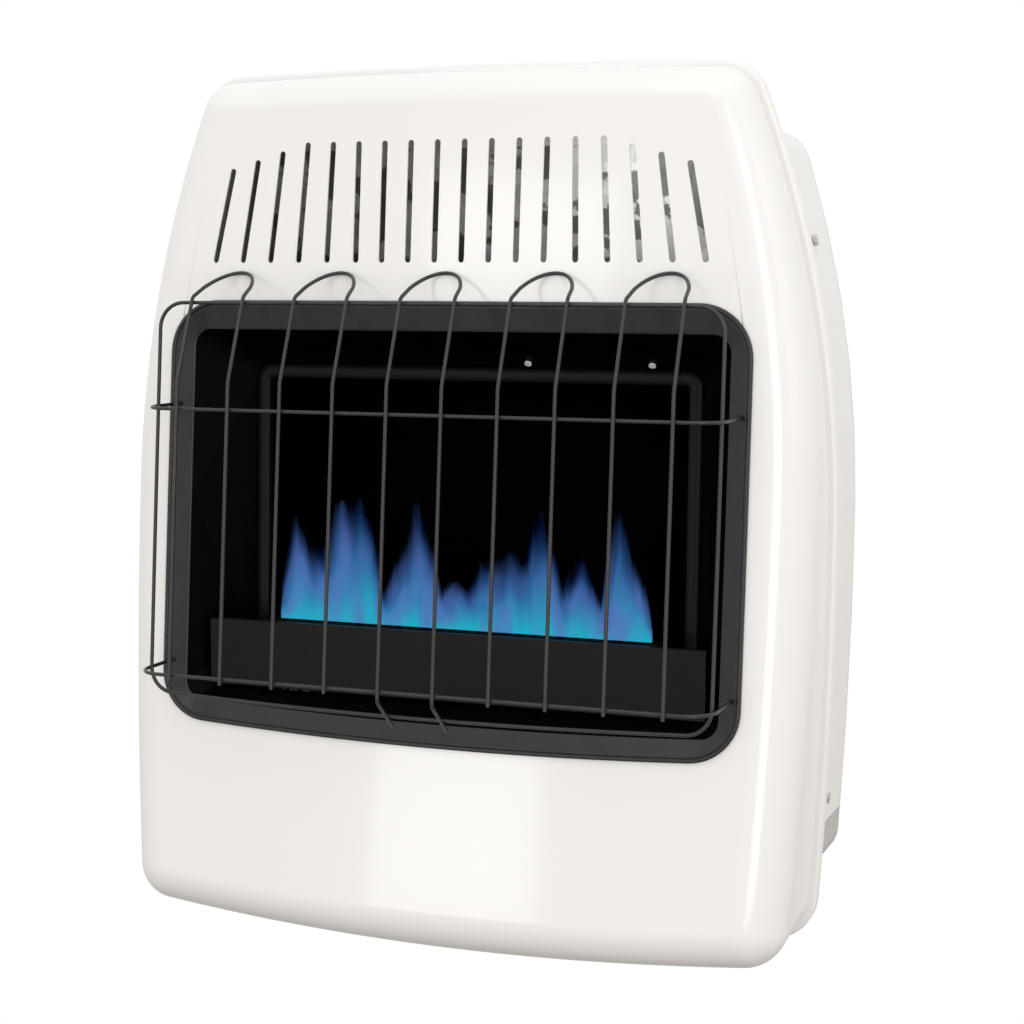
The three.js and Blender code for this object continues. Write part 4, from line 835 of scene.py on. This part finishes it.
# name, place, point it faces, width and height in metres, power in watts
LAMPS = (
    ("key", (0.3, -2.2, 2.6), (0, -0.15, 0.05), (1.8, 1.8), 6),
    ("strip", (1.25, -1.75, 0.25), (0.2, -0.15, 0.05), (0.6, 1.9), 8.5),
    ("apron_box", (-0.82, -2.35, -0.42), (0, -0.2, -0.25), (0.45, 0.5), 1.5),
    ("upper_box", (-0.72, -2.35, 0.50), (0, -0.2, 0.1), (0.5, 0.5), 1.4),
    ("side_box", (2.4, -0.6, 0.8), (0.28, -0.1, 0.1), (1.2, 1.2), 1.5),
    ("slot_light", (0.15, -0.145, 0.235), (0.15, -0.085, 0.235), (0.14, 0.08), 0.06),
)


def white_world():
    """White behind the heater; what it reflects and is lit by darkens toward the ground."""
    world = bpy.data.worlds.new("studio white")
    bpy.context.scene.world = world
    world.use_nodes = True
    tree = world.node_tree
    tree.nodes.clear()
    link = tree.links.new
    out = tree.nodes.new("ShaderNodeOutputWorld")
    seen = tree.nodes.new("ShaderNodeBackground")
    seen.inputs["Color"].default_value = (1, 1, 1, 1)
    seen.inputs["Strength"].default_value = 1.0
    lit = tree.nodes.new("ShaderNodeBackground")
    lit.inputs["Strength"].default_value = 1.0
    place = tree.nodes.new("ShaderNodeTexCoord")
    split = tree.nodes.new("ShaderNodeSeparateXYZ")
    link(place.outputs["Generated"], split.inputs["Vector"])
    level = tree.nodes.new("ShaderNodeMapRange")
    level.inputs["From Min"].default_value = -1.0
    level.inputs["From Max"].default_value = 1.0
    link(split.outputs["Z"], level.inputs["Value"])
    ramp = tree.nodes.new("ShaderNodeValToRGB")
    ramp.color_ramp.elements[0].position = 0.02
    ramp.color_ramp.elements[0].color = (0.20, 0.175, 0.15, 1)
    ramp.color_ramp.elements[1].position = 0.75
    ramp.color_ramp.elements[1].color = (1.0, 1.0, 0.995, 1)
    ramp.color_ramp.elements.new(0.30).color = (0.62, 0.595, 0.56, 1)
    ramp.color_ramp.elements.new(0.5).color = (0.85, 0.835, 0.815, 1)
    link(level.outputs["Result"], ramp.inputs["Fac"])
    link(ramp.outputs["Color"], lit.inputs["Color"])
    path = tree.nodes.new("ShaderNodeLightPath")
    mix = tree.nodes.new("ShaderNodeMixShader")
    link(path.outputs["Is Camera Ray"], mix.inputs["Fac"])
    link(lit.outputs["Background"], mix.inputs[1])
    link(seen.outputs["Background"], mix.inputs[2])
    link(mix.outputs["Shader"], out.inputs["Surface"])


def build_stage(settings):
    """Camera, white surroundings and lamps."""
    scene = bpy.context.scene
    scene.view_settings.view_transform = "Standard"
    camera_data = bpy.data.cameras.new("camera")
    camera_data.sensor_width = 36
    camera_data.lens = settings.lens
    camera_data.shift_y = -0.0055
    camera = bpy.data.objects.new("camera", camera_data)
    yaw, pitch = CAMERA_YAW, CAMERA_PITCH
    ahead = Vector((-math.sin(yaw) * math.cos(pitch), math.cos(yaw) * math.cos(pitch), -math.sin(pitch)))
    camera.location = CAMERA_PLACE
    camera.rotation_euler = ahead.to_track_quat("-Z", "Y").to_euler()
    scene.collection.objects.link(camera)
    scene.camera = camera
    white_world()
    for lamp in LAMPS:
        area_light(*lamp)


# ---------- add-on ----------


class CasingSettings(bpy.types.PropertyGroup):
    wall: bpy.props.FloatProperty(
        name="Wall", description="Sheet thickness of the casing", default=0.0015, unit="LENGTH")
    enamel: bpy.props.FloatVectorProperty(
        name="Enamel", description="Colour of the casing's gloss enamel", default=(0.87, 0.855, 0.84),
        min=0, max=1, subtype="COLOR")


class GuardSettings(bpy.types.PropertyGroup):
    wire: bpy.props.FloatProperty(
        name="Wire", description="Diameter of the guard's wire", default=0.003, unit="LENGTH")
    coating: bpy.props.FloatVectorProperty(
        name="Coating", description="Colour of the guard's coating", default=(0.022, 0.021, 0.020),
        min=0, max=1, subtype="COLOR")


class FlameSettings(bpy.types.PropertyGroup):
    strength: bpy.props.FloatProperty(
        name="Strength", description="Brightness of the flames", default=1.0, min=0)


class StageSettings(bpy.types.PropertyGroup):
    lens: bpy.props.FloatProperty(
        name="Lens", description="Focal length of the camera in millimetres", default=72.4, min=1)


def finishes_or_error():
    if not FINISHES:
        raise RuntimeError("the finishes have to be made first")


class HEATER_OT_finishes(bpy.types.Operator):
    """Makes the finishes and paints the solids with them"""
    bl_idname = "heater.finishes"
    bl_label = "Finishes"

    def execute(self, context):
        scene = context.scene
        make_finishes(scene.heater_casing, scene.heater_guard, scene.heater_flames)
        paint_frame()
        return {"FINISHED"}


class HEATER_OT_casing(bpy.types.Operator):
    """Builds the enamelled casing with its slots"""
    bl_idname = "heater.casing"
    bl_label = "Casing"

    def execute(self, context):
        finishes_or_error()
        build_casing(context.scene.heater_casing)
        return {"FINISHED"}


class HEATER_OT_bezel(bpy.types.Operator):
    """Builds the black bezel round the firebox"""
    bl_idname = "heater.bezel"
    bl_label = "Bezel"

    def execute(self, context):
        finishes_or_error()
        build_bezel()
        return {"FINISHED"}


class HEATER_OT_inner_frame(bpy.types.Operator):
    """Builds the rolled inner frame"""
    bl_idname = "heater.inner_frame"
    bl_label = "Inner Frame"

    def execute(self, context):
        finishes_or_error()
        build_inner_frame()
        return {"FINISHED"}


class HEATER_OT_guard(bpy.types.Operator):
    """Builds the wire guard"""
    bl_idname = "heater.guard"
    bl_label = "Guard"

    def execute(self, context):
        finishes_or_error()
        build_guard(context.scene.heater_guard)
        return {"FINISHED"}


class HEATER_OT_flames(bpy.types.Operator):
    """Builds the blue flames"""
    bl_idname = "heater.flames"
    bl_label = "Flames"

    def execute(self, context):
        finishes_or_error()
        build_flames()
        return {"FINISHED"}


class HEATER_OT_stage(bpy.types.Operator):
    """Builds the camera, the lights and the white background"""
    bl_idname = "heater.stage"
    bl_label = "Stage"

    def execute(self, context):
        build_stage(context.scene.heater_stage)
        return {"FINISHED"}


OPERATORS = (HEATER_OT_finishes, HEATER_OT_casing, HEATER_OT_bezel, HEATER_OT_inner_frame, HEATER_OT_guard,
             HEATER_OT_flames, HEATER_OT_stage)


class HEATER_PT_panel(bpy.types.Panel):
    """Settings and builders of the heater"""
    bl_idname = "HEATER_PT_panel"
    bl_label = "Wall Gas Heater"
    bl_space_type = "VIEW_3D"
    bl_region_type = "UI"
    bl_category = "Heater"

    def draw(self, context):
        scene = context.scene
        self.layout.prop(scene.heater_casing, "wall")
        self.layout.prop(scene.heater_casing, "enamel")
        self.layout.prop(scene.heater_guard, "wire")
        self.layout.prop(scene.heater_guard, "coating")
        self.layout.prop(scene.heater_flames, "strength")
        self.layout.prop(scene.heater_stage, "lens")
        for operator in OPERATORS:
            self.layout.operator(operator.bl_idname)


SETTINGS = {
    "heater_casing": CasingSettings,
    "heater_guard": GuardSettings,
    "heater_flames": FlameSettings,
    "heater_stage": StageSettings,
}
CLASSES = tuple(SETTINGS.values()) + OPERATORS + (HEATER_PT_panel,)


def register():
    for item in CLASSES:
        bpy.utils.register_class(item)
    for name, group in SETTINGS.items():
        setattr(bpy.types.Scene, name, bpy.props.PointerProperty(type=group))


def unregister():
    for name in SETTINGS:
        delattr(bpy.types.Scene, name)
    for item in reversed(CLASSES):
        bpy.utils.unregister_class(item)


def main():
    register()
    bpy.ops.heater.finishes()
    bpy.ops.heater.casing()
    bpy.ops.heater.bezel()
    bpy.ops.heater.inner_frame()
    bpy.ops.heater.guard()
    bpy.ops.heater.flames()
    bpy.ops.heater.stage()


if __name__ == "__main__":
    main()
